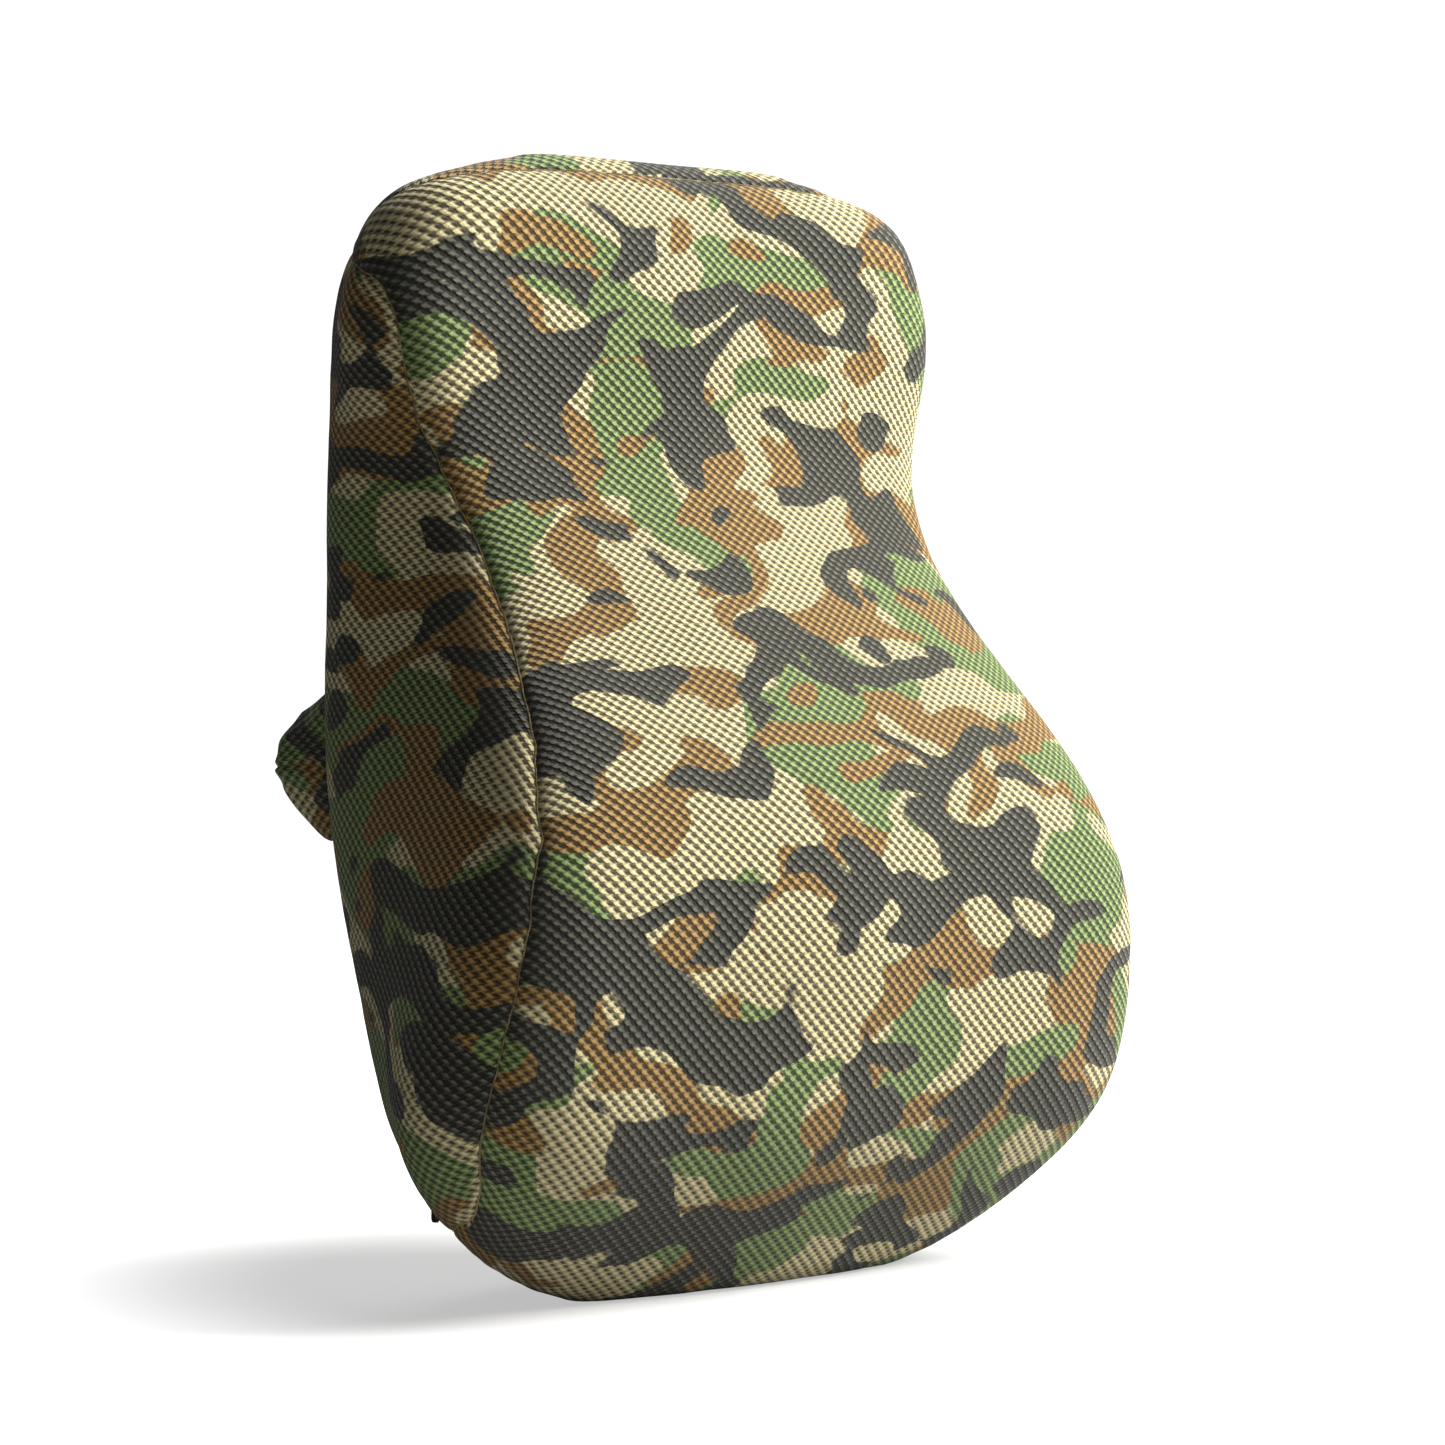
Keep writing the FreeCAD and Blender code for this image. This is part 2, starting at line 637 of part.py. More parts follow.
def make_ear(name, side):
    """A fabric tab that leaves the rear seam, turns round the corner and narrows to the webbing."""
    outer, inner = ["ear_x"], ["ear_x", "-ear_thickness"]
    turn, end = ["ear_x", "-ear_bend"], ["ear_inner_end"]
    bend_y = ["ear_rear", "-ear_bend"]
    start, rear, rear_inner = ["ear_start"], ["ear_rear"], ["ear_rear", "-ear_thickness"]
    corners = [
        (outer, start), (outer, bend_y), (turn, rear), (end, rear),
        (end, rear_inner), (turn, rear_inner), (inner, bend_y), (inner, start),
    ]
    corners = [(mirrored(x, side), y) for x, y in corners]
    centre = (mirrored(turn, side), bend_y)
    whole = band(name + "_band", corners, {1: (centre, side > 0), 5: (centre, side < 0)}, "ear_root_height")
    middle, root, tip = size("strap_height"), size("ear_root_height") / 2, size("ear_tip_height") / 2
    upper = [(size("ear_start"), root), (size("ear_root"), root),
             (size("ear_taper_end"), tip), (size("reach"), tip)]
    outline = [(y, middle + half) for y, half in upper] + [(y, middle - half) for y, half in upper[::-1]]
    taper = side_region(name + "_taper", outline, "sizes.reach", "sizes.reach")
    return cut(name, common(name + "_shape", whole, taper), strap_room)


strap_ear_left = make_ear("strap_ear_left", -1)
strap_ear_right = make_ear("strap_ear_right", 1)


def make_webbing(name, side, turn, fold_end):
    """One half of the webbing: in from the ear, round a buckle bar, and back behind itself."""
    front, rear = ["web_front"], ["web_rear"]
    front_back, rear_back = ["web_front", "web_thickness"], ["web_rear", "web_thickness"]
    outer = mirrored(["web_outer_end"], side)
    corners = [
        (outer, front), (turn, front), (turn, rear_back), (fold_end, rear_back),
        (fold_end, rear), (turn, rear), (turn, front_back), (outer, front_back),
    ]
    centre = (turn, ["web_middle"])
    return band(name, corners, {1: (centre, side < 0), 5: (centre, side > 0)}, "web_width")


left_turn = ["buckle_left", "buckle_bar", "turn_gap"]
right_turn = ["male_right", "-buckle_bar", "-turn_gap"]
webbing_left = make_webbing("webbing_left", -1, left_turn, ["tail_end"])
webbing_right = make_webbing("webbing_right", 1, right_turn, ["fold_end"])


def web_block(name, x, half_depth, half_height):
    """A box centred on the strap in depth and in height; both halves are sums of cells."""
    front = ["web_middle"] + mirrored(half_depth, -1)
    foot = ["strap_height"] + mirrored(half_height, -1)
    return block(name, x, (front, half_depth * 2), (foot, half_height * 2))


def side_arms(name, x, half_depth):
    """The two walls that run past the webbing's edges."""
    arms = []
    for side in (-1, 1):
        foot = ["strap_height", "buckle_half", "-side_wall"]
        if side < 0:
            foot = ["strap_height", "-buckle_half"]
        front = ["web_middle"] + mirrored(half_depth, -1)
        label = name + ("_lower" if side < 0 else "_upper")
        arms.append(block(label, x, (front, half_depth * 2), (foot, ["side_wall"])))
    return arms


def make_buckle_female():
    """The socket half: a hollow body open to the right, with side windows and a bar for the webbing."""
    body_left = ["buckle_left", "buckle_bar", "buckle_slot"]
    body = web_block(
        "female_body", (body_left, ["buckle_mouth", "-buckle_left", "-buckle_bar", "-buckle_slot"]),
        ["buckle_half_depth"], ["buckle_half"])
    arm_span = ["buckle_bar", "buckle_slot", "buckle_wall"]
    arms = side_arms("female_arm", (["buckle_left"], arm_span), ["arm_half_depth"])
    bar = web_block("female_bar", (["buckle_left"], ["buckle_bar"]), ["bar_half_depth"], ["buckle_half"])
    solid = fuse("female_solid", rounded("female_rounded", body, "buckle_round"), bar, *arms)
    hollow_span = ["buckle_mouth", "-prong_left", "turn_gap", "buckle_clearance"]
    hollow = web_block(
        "female_hollow", (["prong_left", "-buckle_clearance"], hollow_span),
        ["prong_half_depth", "buckle_clearance"], ["prong_half_span", "buckle_clearance"])
    windows = web_block(
        "female_windows", (["window_start"], ["window_length"]),
        ["prong_half_depth", "buckle_clearance"], ["buckle_half", "buckle_wall"])
    return cut("buckle_female", solid, fuse("female_room", hollow, windows))


def make_buckle_male():
    """The plug half: a base, two prongs and a guide tongue, with a bar for the webbing."""
    base_left = ["buckle_mouth", "buckle_clearance"]
    base = web_block("male_base_block", (base_left, ["male_base"]), ["buckle_half_depth"], ["buckle_half"])
    arm_left = ["buckle_mouth", "buckle_clearance", "male_base", "-buckle_wall"]
    arm_span = ["male_right", "-male_base", "-buckle_mouth", "-buckle_clearance", "buckle_wall"]
    arms = side_arms("male_arm", (arm_left, arm_span), ["arm_half_depth"])
    bar = web_block(
        "male_bar", (["male_right", "-buckle_bar"], ["buckle_bar"]), ["bar_half_depth"], ["buckle_half"])
    prong_span = ["buckle_mouth", "-prong_left", "buckle_wall"]
    prongs = []
    feet = {"lower": ["strap_height", "-prong_half_span"],
            "upper": ["strap_height", "prong_half_span", "-prong_width"]}
    for label, foot in feet.items():
        front = ["web_middle", "-prong_half_depth"]
        prong = block(
            "male_prong_" + label, (["prong_left"], prong_span),
            (front, ["prong_half_depth"] * 2), (foot, ["prong_width"]))
        prongs.append(rounded("male_prong_rounded_" + label, prong, "buckle_clearance"))
    tongue = web_block("male_tongue", (["window_start"], prong_span), ["bar_half_depth"], ["tongue_half"])
    return fuse("buckle_male", rounded("male_rounded", base, "buckle_round"), bar, tongue, *arms, *prongs)


buckle_female = make_buckle_female()
buckle_male = make_buckle_male()


def make_glide():
    """The adjuster: two bars behind the loose webbing layer and one in front of it, joined by end walls."""
    length = (["glide_start"], ["glide_length"])
    bar_height = (["strap_height", "-buckle_half"], ["buckle_half"] * 2)
    behind = (["web_rear", "web_thickness", "glide_gap"], ["glide_side_depth"])
    before = (["web_rear", "-glide_gap", "-glide_centre_depth"], ["glide_centre_depth"])
    walls = []
    wall_depth = ["glide_centre_depth", "glide_gap", "web_thickness", "glide_gap", "glide_side_depth"]
    for label, foot in (("lower", ["strap_height", "-buckle_half"]),
                        ("upper", ["strap_height", "buckle_half", "-glide_wall"])):
        walls.append(block("glide_wall_" + label, length, (before[0], wall_depth), (foot, ["glide_wall"])))
    left = block("glide_bar_left", (["glide_start"], ["glide_bar"]), behind, bar_height)
    right_start = ["glide_start", "glide_length", "-glide_bar"]
    right = block("glide_bar_right", (right_start, ["glide_bar"]), behind, bar_height)
    centre = block("glide_bar_centre", (["glide_centre"], ["glide_bar"]), before, bar_height)
    return fuse("strap_glide", left, right, centre, *walls)


def make_keeper():
    """The elastic loop that holds the loose end of the webbing down."""
    length = (["keeper_start"], ["keeper_length"])
    inner_depth, inner_height = ["strap_half_depth", "keeper_gap"], ["web_half", "keeper_gap"]
    outer = web_block(
        "keeper_outer", length, inner_depth + ["keeper_thickness"], inner_height + ["keeper_thickness"])
    inner_length = (["keeper_start", "-keeper_thickness"], ["keeper_length"] + ["keeper_thickness"] * 2)
    return cut("strap_keeper", outer, web_block("keeper_inner", inner_length, inner_depth, inner_height))


strap_glide = make_glide()
strap_keeper = make_keeper()

# ---------------------------------------------------------------- check and write
NODES = [
    foam_core, inner_liner, cover_front, cover_back, cover_base, gore_left, gore_right,
    gore_seam_left, gore_seam_right, top_seam, bottom_seam,
    zip_tape_upper, zip_tape_lower, zip_coil_upper, zip_coil_lower, zip_stops, zip_slider, zip_ring, zip_pull,
    strap_ear_left, strap_ear_right, webbing_left, webbing_right,
    buckle_female, buckle_male, strap_glide, strap_keeper,
]

doc.recompute()
for item in doc.Objects:
    if "Invalid" in item.State or "Error" in item.State:
        raise RuntimeError(f"{item.Label} did not build: {item.State}")
os.makedirs("parts", exist_ok=True)
for node in NODES:
    if node.Shape.isNull() or not node.Shape.isValid() or not node.Shape.Solids:
        raise RuntimeError(f"{node.Label} has no valid solid")
    node.Shape.exportStep(f"parts/{node.Label}.step")
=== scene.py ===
"""Looks of the lumbar support cushion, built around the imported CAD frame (metres, front faces -Y, +Z up)."""
import json
import math

import bmesh
import bpy
import numpy as np
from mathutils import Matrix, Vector, noise
from mathutils.kdtree import KDTree


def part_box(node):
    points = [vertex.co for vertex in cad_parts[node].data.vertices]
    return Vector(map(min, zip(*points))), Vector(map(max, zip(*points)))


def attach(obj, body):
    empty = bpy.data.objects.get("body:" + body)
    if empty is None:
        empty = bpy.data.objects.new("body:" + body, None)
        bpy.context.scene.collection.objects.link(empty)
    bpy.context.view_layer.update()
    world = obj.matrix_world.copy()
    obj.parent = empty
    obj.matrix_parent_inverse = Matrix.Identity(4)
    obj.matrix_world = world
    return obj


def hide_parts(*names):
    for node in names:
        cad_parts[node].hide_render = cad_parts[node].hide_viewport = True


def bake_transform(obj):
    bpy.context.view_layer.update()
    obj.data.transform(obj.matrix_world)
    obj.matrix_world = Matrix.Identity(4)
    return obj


MM = 0.001

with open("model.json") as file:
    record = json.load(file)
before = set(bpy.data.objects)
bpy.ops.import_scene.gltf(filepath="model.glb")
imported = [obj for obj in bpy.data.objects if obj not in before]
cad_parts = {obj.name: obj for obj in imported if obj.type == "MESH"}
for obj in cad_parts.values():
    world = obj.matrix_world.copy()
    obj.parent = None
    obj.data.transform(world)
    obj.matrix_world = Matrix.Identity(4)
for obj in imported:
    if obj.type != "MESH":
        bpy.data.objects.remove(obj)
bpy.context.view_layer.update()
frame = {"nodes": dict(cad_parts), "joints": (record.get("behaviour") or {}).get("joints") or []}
scene = bpy.context.scene


# ---------------------------------------------------------------- material nodes
def rgb(red, green, blue):
    """A colour given in 0-255 display values, as the linear colour that Blender works in."""
    def linear(value):
        share = value / 255
        return share / 12.92 if share <= 0.04045 else ((share + 0.055) / 1.055) ** 2.4
    return (linear(red), linear(green), linear(blue), 1.0)


class Paint:
    """A material whose node tree is written as expressions."""

    def __init__(self, name, roughness=0.8):
        self.material = bpy.data.materials.new(name)
        self.material.use_nodes = True
        self.tree = self.material.node_tree
        self.tree.nodes.clear()
        self.shader = self.node("ShaderNodeBsdfPrincipled")
        self.set("Roughness", roughness)
        output = self.node("ShaderNodeOutputMaterial")
        self.tree.links.new(self.shader.outputs[0], output.inputs[0])

    def node(self, kind, **settings):
        made = self.tree.nodes.new(kind)
        for key, value in settings.items():
            setattr(made, key, value)
        return made

    def feed(self, target, value):
        if isinstance(value, bpy.types.NodeSocket):
            self.tree.links.new(value, target)
        else:
            target.default_value = value

    def set(self, channel, value):
        self.feed(self.shader.inputs[channel], value)

    def math(self, operation, a, b=0.0, clamp=False):
        made = self.node("ShaderNodeMath", operation=operation, use_clamp=clamp)
        self.feed(made.inputs[0], a)
        self.feed(made.inputs[1], b)
        return made.outputs[0]

    def add(self, a, b):
        return self.math("ADD", a, b)

    def times(self, a, b):
        return self.math("MULTIPLY", a, b)

    def away(self, value, middle):
        """How far a value is from the middle one."""
        return self.math("ABSOLUTE", self.math("SUBTRACT", value, middle))

    def step(self, value, low, high):
        made = self.node("ShaderNodeMapRange", interpolation_type="SMOOTHSTEP")
        for channel, source in (("Value", value), ("From Min", low), ("From Max", high)):
            self.feed(made.inputs[channel], source)
        return made.outputs["Result"]

    def mix(self, share, a, b, blend="MIX"):
        made = self.node("ShaderNodeMix", data_type="RGBA", blend_type=blend)
        self.feed(made.inputs[0], share)
        self.feed(made.inputs[6], a)
        self.feed(made.inputs[7], b)
        return made.outputs[2]

    def shade(self, colour, share):
        """A colour made darker or lighter by a number."""
        made = self.node("ShaderNodeVectorMath", operation="SCALE")
        self.feed(made.inputs[0], colour)
        self.feed(made.inputs["Scale"], share)
        return made.outputs[0]

    def vector(self, x, y, z=0.0):
        made = self.node("ShaderNodeCombineXYZ")
        for socket, value in zip(made.inputs, (x, y, z)):
            self.feed(socket, value)
        return made.outputs[0]

    def parts(self, vector):
        made = self.node("ShaderNodeSeparateXYZ")
        self.feed(made.inputs[0], vector)
        return made.outputs

    def noise(self, place, scale, detail=2.0, distortion=0.0, colour=False):
        made = self.node("ShaderNodeTexNoise")
        self.feed(made.inputs["Vector"], place)
        made.inputs["Scale"].default_value = scale
        made.inputs["Detail"].default_value = detail
        made.inputs["Distortion"].default_value = distortion
        return made.outputs[1 if colour else 0]

    def attribute(self, name):
        return self.node("ShaderNodeAttribute", attribute_name=name).outputs["Vector"]

    def place(self):
        """Where the point is on the object, in millimetres."""
        made = self.node("ShaderNodeVectorMath", operation="SCALE")
        self.feed(made.inputs[0], self.node("ShaderNodeTexCoord").outputs["Object"])
        made.inputs["Scale"].default_value = 1 / MM
        return made.outputs[0]

    def bump(self, height, depth, strength=1.0):
        """Relief, with its full depth in metres."""
        made = self.node("ShaderNodeBump")
        made.inputs["Strength"].default_value = strength
        made.inputs["Distance"].default_value = depth
        self.feed(made.inputs["Height"], height)
        self.set("Normal", made.outputs[0])


# ---- camouflage
TAN, GREEN, BROWN, DARK = rgb(206, 193, 143), rgb(118, 142, 74), rgb(152, 115, 44), rgb(48, 48, 32)


def camouflage(paint, cloth):
    """A woodland print of rounded, branching blotches, wider than tall, on a tan ground."""
    x, y, z = paint.parts(cloth)
    flat = paint.vector(x, paint.times(y, 1.5), z)
    drift = paint.noise(flat, 0.022, 0.0, colour=True)
    centred = paint.node("ShaderNodeVectorMath", operation="MULTIPLY_ADD")
    paint.feed(centred.inputs[0], drift)
    centred.inputs[1].default_value = (26, 26, 0)
    paint.feed(centred.inputs[2], flat)

    def layer(shift, scale):
        moved = paint.node("ShaderNodeVectorMath", operation="ADD")
        paint.feed(moved.inputs[0], centred.outputs[0])
        moved.inputs[1].default_value = shift
        return paint.noise(moved.outputs[0], scale, 0.0)

    lumps = paint.times(paint.math("SUBTRACT", layer((13, 71, 3), 0.058), 0.5), 0.18)

    def patch(shift, scale, level):
        """Blotches with lobed outlines."""
        return paint.add(paint.math("SUBTRACT", layer(shift, scale), level), lumps)

    def stroke(shift, scale, width, cover):
        """Branching strokes of about even width, cut into lengths where a second noise runs low."""
        line = paint.math("SUBTRACT", width, paint.away(layer(shift, scale), 0.5))
        gate = paint.math("SUBTRACT", layer((shift[1], shift[0], 71), scale * 0.9), cover)
        return paint.add(paint.math("MINIMUM", line, paint.times(gate, 0.8)), paint.times(lumps, 0.7))

    edge = 0.012
    green = paint.step(patch((311, 57, 20), 0.0195, 0.515), 0, edge)
    brown = paint.step(paint.math(
        "MAXIMUM", patch((97, 411, 5), 0.0235, 0.585), stroke((17, 230, 44), 0.0165, 0.085, 0.55)), 0, edge)
    dark = paint.step(paint.math(
        "MAXIMUM", stroke((501, 33, 9), 0.0165, 0.088, 0.5), patch((65, 190, 31), 0.024, 0.64)), 0, edge)
    colour = paint.mix(green, TAN, GREEN)
    colour = paint.mix(brown, colour, BROWN)
    return paint.mix(dark, colour, DARK)


def spacer_knit(name, shift, column=5.2, row=2.2):
    """The printed 3-D mesh: staggered, slanted yarn bumps in rows with holes between neighbours; painted light
    on the raised yarn, a painted highlight on its tops and painted shade in the holes.
    """
    paint = Paint(name, 0.9)
    cloth = paint.attribute("weave")
    moved = paint.node("ShaderNodeVectorMath", operation="ADD")
    paint.feed(moved.inputs[0], cloth)
    moved.inputs[1].default_value = shift
    across, along, _ = paint.parts(cloth)
    wobble = paint.noise(cloth, 0.12, 1.0)
    a = paint.add(paint.times(across, 2 * math.pi / column), paint.times(wobble, 1.2))
    b = paint.times(along, math.pi / row)
    slant = paint.times(paint.math("SINE", paint.times(b, 2.0)), 0.5)
    wave = paint.times(paint.math("COSINE", paint.add(a, slant)), paint.math("COSINE", b))
    raised = paint.step(wave, -0.55, 0.75)
    # Mask of the holes between the bumps, which get painted shade below and a little more roughness.
    shaded_hole = paint.step(wave, -0.25, -0.8)
    # Mask of the bumps' tops, which get a painted highlight below.
    highlight_tip = paint.step(wave, 0.3, 0.95)
    strand = paint.noise(cloth, 1.6, 2.0)
    colour = camouflage(paint, moved.outputs[0])
    # Painted light and shade: raised yarn is made lighter and low yarn darker, times the yarn's own strand
    # tone.
    light = paint.add(paint.times(raised, 0.6), 0.52)
    light = paint.times(light, paint.add(paint.times(strand, 0.9), 0.55))
    colour = paint.shade(colour, light)
    # Painted highlight: a pale tint mixed into the bumps' tops.
    colour = paint.mix(paint.times(highlight_tip, 0.16), colour, rgb(226, 220, 190))
    # Painted shade: the holes are darkened to near black.
    colour = paint.mix(paint.times(shaded_hole, 0.88), colour, rgb(20, 17, 10))
    paint.set("Base Color", colour)
    paint.set("Roughness", paint.add(paint.times(shaded_hole, 0.1), 0.82))
    paint.set("Sheen Weight", 0.12)
    paint.set("Sheen Roughness", 0.5)
    paint.bump(paint.add(raised, paint.times(strand, 0.18)), 1.1 * MM)
    return paint.material


def twisted_thread(name, light, dark):
    """Sewing thread: plies that wind round its length."""
    paint = Paint(name, 0.6)
    along, round_, _ = paint.parts(paint.attribute("weave"))
    ply = paint.math("SINE", paint.add(paint.times(along, 6.0), paint.times(round_, 2.0)))
    tone = paint.step(ply, -1, 1)
    # Painted light and shade on one tan thread: the plies' crowns take the light colour and the grooves between
    # them the dark one.
    paint.set("Base Color", paint.mix(tone, dark, light))
    paint.bump(tone, 0.08 * MM)
    return paint.material


def foam_material():
    paint = Paint("foam_open_cell", 0.95)
    place = paint.place()
    cells = paint.node("ShaderNodeTexVoronoi", feature="F1")
    paint.feed(cells.inputs["Vector"], place)
    cells.inputs["Scale"].default_value = 1.1
    cell = paint.step(cells.outputs["Distance"], 0.1, 0.7)
    tone = paint.noise(place, 0.03, 2.0)
    colour = paint.mix(tone, rgb(238, 230, 205), rgb(222, 206, 168))
    paint.set("Base Color", paint.mix(paint.times(cell, 0.35), colour, rgb(150, 132, 96)))
    paint.bump(cell, 0.4 * MM)
    return paint.material


def fine_knit(name, light, dark, pitch):
    """A plain jersey knit of one yarn, lighter on the loops and darker between them: painted light and shade.
    """
    paint = Paint(name, 0.9)
    x, y, z = paint.parts(paint.place())
    turn = 2 * math.pi / pitch
    wale = paint.math("COSINE", paint.times(paint.add(x, y), turn))
    course = paint.math("COSINE", paint.add(paint.times(z, turn), paint.times(wale, 0.8)))
    loop = paint.step(paint.times(wale, course), -0.6, 0.8)
    # Painted light on the raised loops, painted shade between them.
    paint.set("Base Color", paint.mix(loop, dark, light))
    paint.bump(loop, 0.25 * MM)
    return paint.material


def woven(name, light, dark, warp, weft, from_mesh=True):
    """Webbing or tape: a twill of warp ribs crossed by the weft."""
    paint = Paint(name, 0.62)
    along, across, _ = paint.parts(paint.attribute("weave") if from_mesh else paint.place())
    rib = paint.math("COSINE", paint.times(across, 2 * math.pi / warp))
    lift = paint.times(paint.math("FLOOR", paint.times(across, 1 / warp)), 0.5 * math.pi)
    pick = paint.math("COSINE", paint.add(paint.times(along, 2 * math.pi / weft), lift))
    height = paint.add(paint.times(rib, 0.5), paint.times(pick, 0.5))
    tone = paint.step(height, -0.9, 0.9)
    wear = paint.noise(paint.vector(along, across), 0.09, 3.0)
    # Painted light and shade: the raised ribs and picks take the light colour and the low weave between them
    # the dark one; the wear noise below is the cloth's own uneven tone.
    colour = paint.mix(tone, dark, light)
    paint.set("Base Color", paint.shade(colour, paint.add(paint.times(wear, 0.5), 0.75)))
    paint.set("Roughness", paint.add(paint.times(wear, 0.2), 0.52))
    paint.bump(tone, 0.22 * MM)
    return paint.material


def moulded(name, tone, worn, roughness=0.42, grain=2.2, metallic=0.0):
    """Moulded plastic, paint or metal: a fine grain, scuffs and a slightly uneven gloss."""
    paint = Paint(name, roughness)
    place = paint.place()
    fine = paint.noise(place, grain, 3.0)
    broad = paint.noise(place, 0.12, 3.0, 0.6)
    scuff = paint.step(paint.noise(place, 0.5, 5.0, 1.5), 0.6, 0.72)
    colour = paint.mix(paint.times(scuff, 0.5), tone, worn)
    paint.set("Base Color", paint.shade(colour, paint.add(paint.times(broad, 0.4), 0.8)))
    paint.set("Roughness", paint.add(paint.times(fine, 0.18), roughness - 0.06))
    paint.set("Metallic", metallic)
    paint.bump(fine, 0.05 * MM, 0.6)
    return paint.material


# ---------------------------------------------------------------- meshes
def evaluated(obj, name):
    """A new mesh with the object's modifiers applied."""
    graph = bpy.context.evaluated_depsgraph_get()
    mesh = bpy.data.meshes.new_from_object(obj.evaluated_get(graph), depsgraph=graph)
    mesh.name = name
    return mesh


def piece(name, mesh, body, material, nodes):
    """A finished piece that stands for CAD nodes and rides on a body, unless none is given."""
    obj = bpy.data.objects.new(name, mesh)
    scene.collection.objects.link(obj)
    mesh.materials.clear()
    mesh.materials.append(material)
    mesh.polygons.foreach_set("use_smooth", [True] * len(mesh.polygons))
    if body:
        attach(obj, body)
    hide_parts(*nodes)
    return obj


def points_of(mesh):
    flat = np.zeros(len(mesh.vertices) * 3)
    mesh.vertices.foreach_get("co", flat)
    return flat.reshape(-1, 3)


def normals_of(mesh):
    flat = np.zeros(len(mesh.vertices) * 3)
    mesh.vertex_normals.foreach_get("vector", flat)
    return flat.reshape(-1, 3)


def store_weave(mesh, values, domain="POINT"):
    """Cloth coordinates in millimetres, which the fabric materials read."""
    made = mesh.attributes.new("weave", "FLOAT_VECTOR", domain)
    made.data.foreach_set("vector", np.asarray(values, np.float32).ravel())


def lofted(rings, weave):
    """A closed skin through rings of equal point count, with fan caps at its two ends."""
    rings = np.asarray(rings, float)
    count, sides = rings.shape[:2]
    verts = np.vstack([rings.reshape(-1, 3), rings[0].mean(axis=0), rings[-1].mean(axis=0)])
    row, column = np.meshgrid(np.arange(count - 1) * sides, np.arange(sides), indexing="ij")
    onward = (column + 1) % sides
    quads = np.stack([row + column, row + onward, row + sides + onward, row + sides + column], axis=2)
    first, last = count * sides, (count - 1) * sides
    caps = [(first, (k + 1) % sides, k) for k in range(sides)]
    caps += [(first + 1, last + k, last + (k + 1) % sides) for k in range(sides)]
    mesh = bpy.data.meshes.new("loft")
    mesh.from_pydata(verts.tolist(), [], quads.reshape(-1, 4).tolist() + caps)
    work = bmesh.new()
    work.from_mesh(mesh)
    bmesh.ops.recalc_face_normals(work, faces=work.faces)
    work.to_mesh(mesh)
    work.free()
    weave = np.asarray(weave, float)
    ends = [weave[0].mean(axis=0), weave[-1].mean(axis=0)]
    store_weave(mesh, np.vstack([weave.reshape(-1, 3), *ends]))
    return mesh


def merged(meshes, name):
    """Several meshes as one."""
    work = bmesh.new()
    for mesh in meshes:
        work.from_mesh(mesh)
    out = bpy.data.meshes.new(name)
    work.to_mesh(out)
    work.free()
    return out


def cord(path, normals, radius, sides=6, lift=None):
    """A thread along a path; lift and radius may change from point to point."""
    path, normals = np.asarray(path, float), np.asarray(normals, float)
    ahead = np.gradient(path, axis=0)
    ahead /= np.linalg.norm(ahead, axis=1)[:, None] + 1e-12
    side = np.cross(ahead, normals)
    side /= np.linalg.norm(side, axis=1)[:, None] + 1e-12
    up = np.cross(side, ahead)
    if lift is not None:
        path = path + up * lift[:, None]
    length = np.concatenate([[0], np.cumsum(np.linalg.norm(np.diff(path, axis=0), axis=1))]) / MM
    turns = np.arange(sides) * 2 * math.pi / sides
    reach = np.broadcast_to(radius, len(path))[:, None, None]
    around = np.cos(turns)[None, :, None] * side[:, None] + np.sin(turns)[None, :, None] * up[:, None]
    rings = path[:, None] + reach * around
    weave = np.stack(np.broadcast_arrays(length[:, None], turns[None], 0.0), axis=2)
    return lofted(rings, weave=weave)


def resampled(path, spacing):
    """A polyline with even spacing, and the matching places in the old one."""
    path = np.asarray(path, float)
    length = np.concatenate([[0], np.cumsum(np.linalg.norm(np.diff(path, axis=0), axis=1))])
    places = np.linspace(0, length[-1], max(3, int(length[-1] / spacing)))
    return np.stack([np.interp(places, length, path[:, k]) for k in range(path.shape[1])], axis=1), places


# ---------------------------------------------------------------- seam lines, read from the frame
LEVELS = np.arange(0.5, 430, 1.5) * MM


def side_slices(node):
    """Lowest and highest y of a CAD node at each level, NaN where it isn't."""
    mesh = frame["nodes"][node].data
    points = points_of(mesh)
    ends = np.zeros(len(mesh.edges) * 2, int)
    mesh.edges.foreach_get("vertices", ends)
    a, b = points[ends[0::2]], points[ends[1::2]]
    low, high = np.full(len(LEVELS), np.nan), np.full(len(LEVELS), np.nan)
    for i, z in enumerate(LEVELS):
        hit = (a[:, 2] - z) * (b[:, 2] - z) < 0
        if hit.any():
            share = (z - a[hit, 2]) / (b[hit, 2] - a[hit, 2])
            y = a[hit, 1] + share * (b[hit, 1] - a[hit, 1])
            low[i], high[i] = y.min(), y.max()
    return low, high


def seam_tables():
    """Y of the seam at the gore's front and rear edges by height.

    Above and below the gore the two are one line.
    """
    gore_low, gore_high = side_slices("gore_left")
    front, rear = gore_low, gore_high
    for node in ("top_seam", "bottom_seam"):
        low, high = side_slices(node)
        only = np.isnan(gore_low) & ~np.isnan(low)
        front = np.where(only, (low + high) / 2, front)
        rear = np.where(only, (low + high) / 2, rear)
    known = ~np.isnan(front)
    return [np.interp(LEVELS, LEVELS[known], table[known]) for table in (front, rear)]


front_table, rear_table = seam_tables()
slot_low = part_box("cover_base")[1].z
slot_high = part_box("cover_back")[0].z
SPLIT = 1.5 * MM        # where the gore is narrower than this, it has ended


def front_of(points):
    return points[:, 1] - np.interp(points[:, 2], LEVELS, front_table)


def rear_of(points):
    return points[:, 1] - np.interp(points[:, 2], LEVELS, rear_table)


def gore_width(points):
    return np.interp(points[:, 2], LEVELS, rear_table) - np.interp(points[:, 2], LEVELS, front_table)


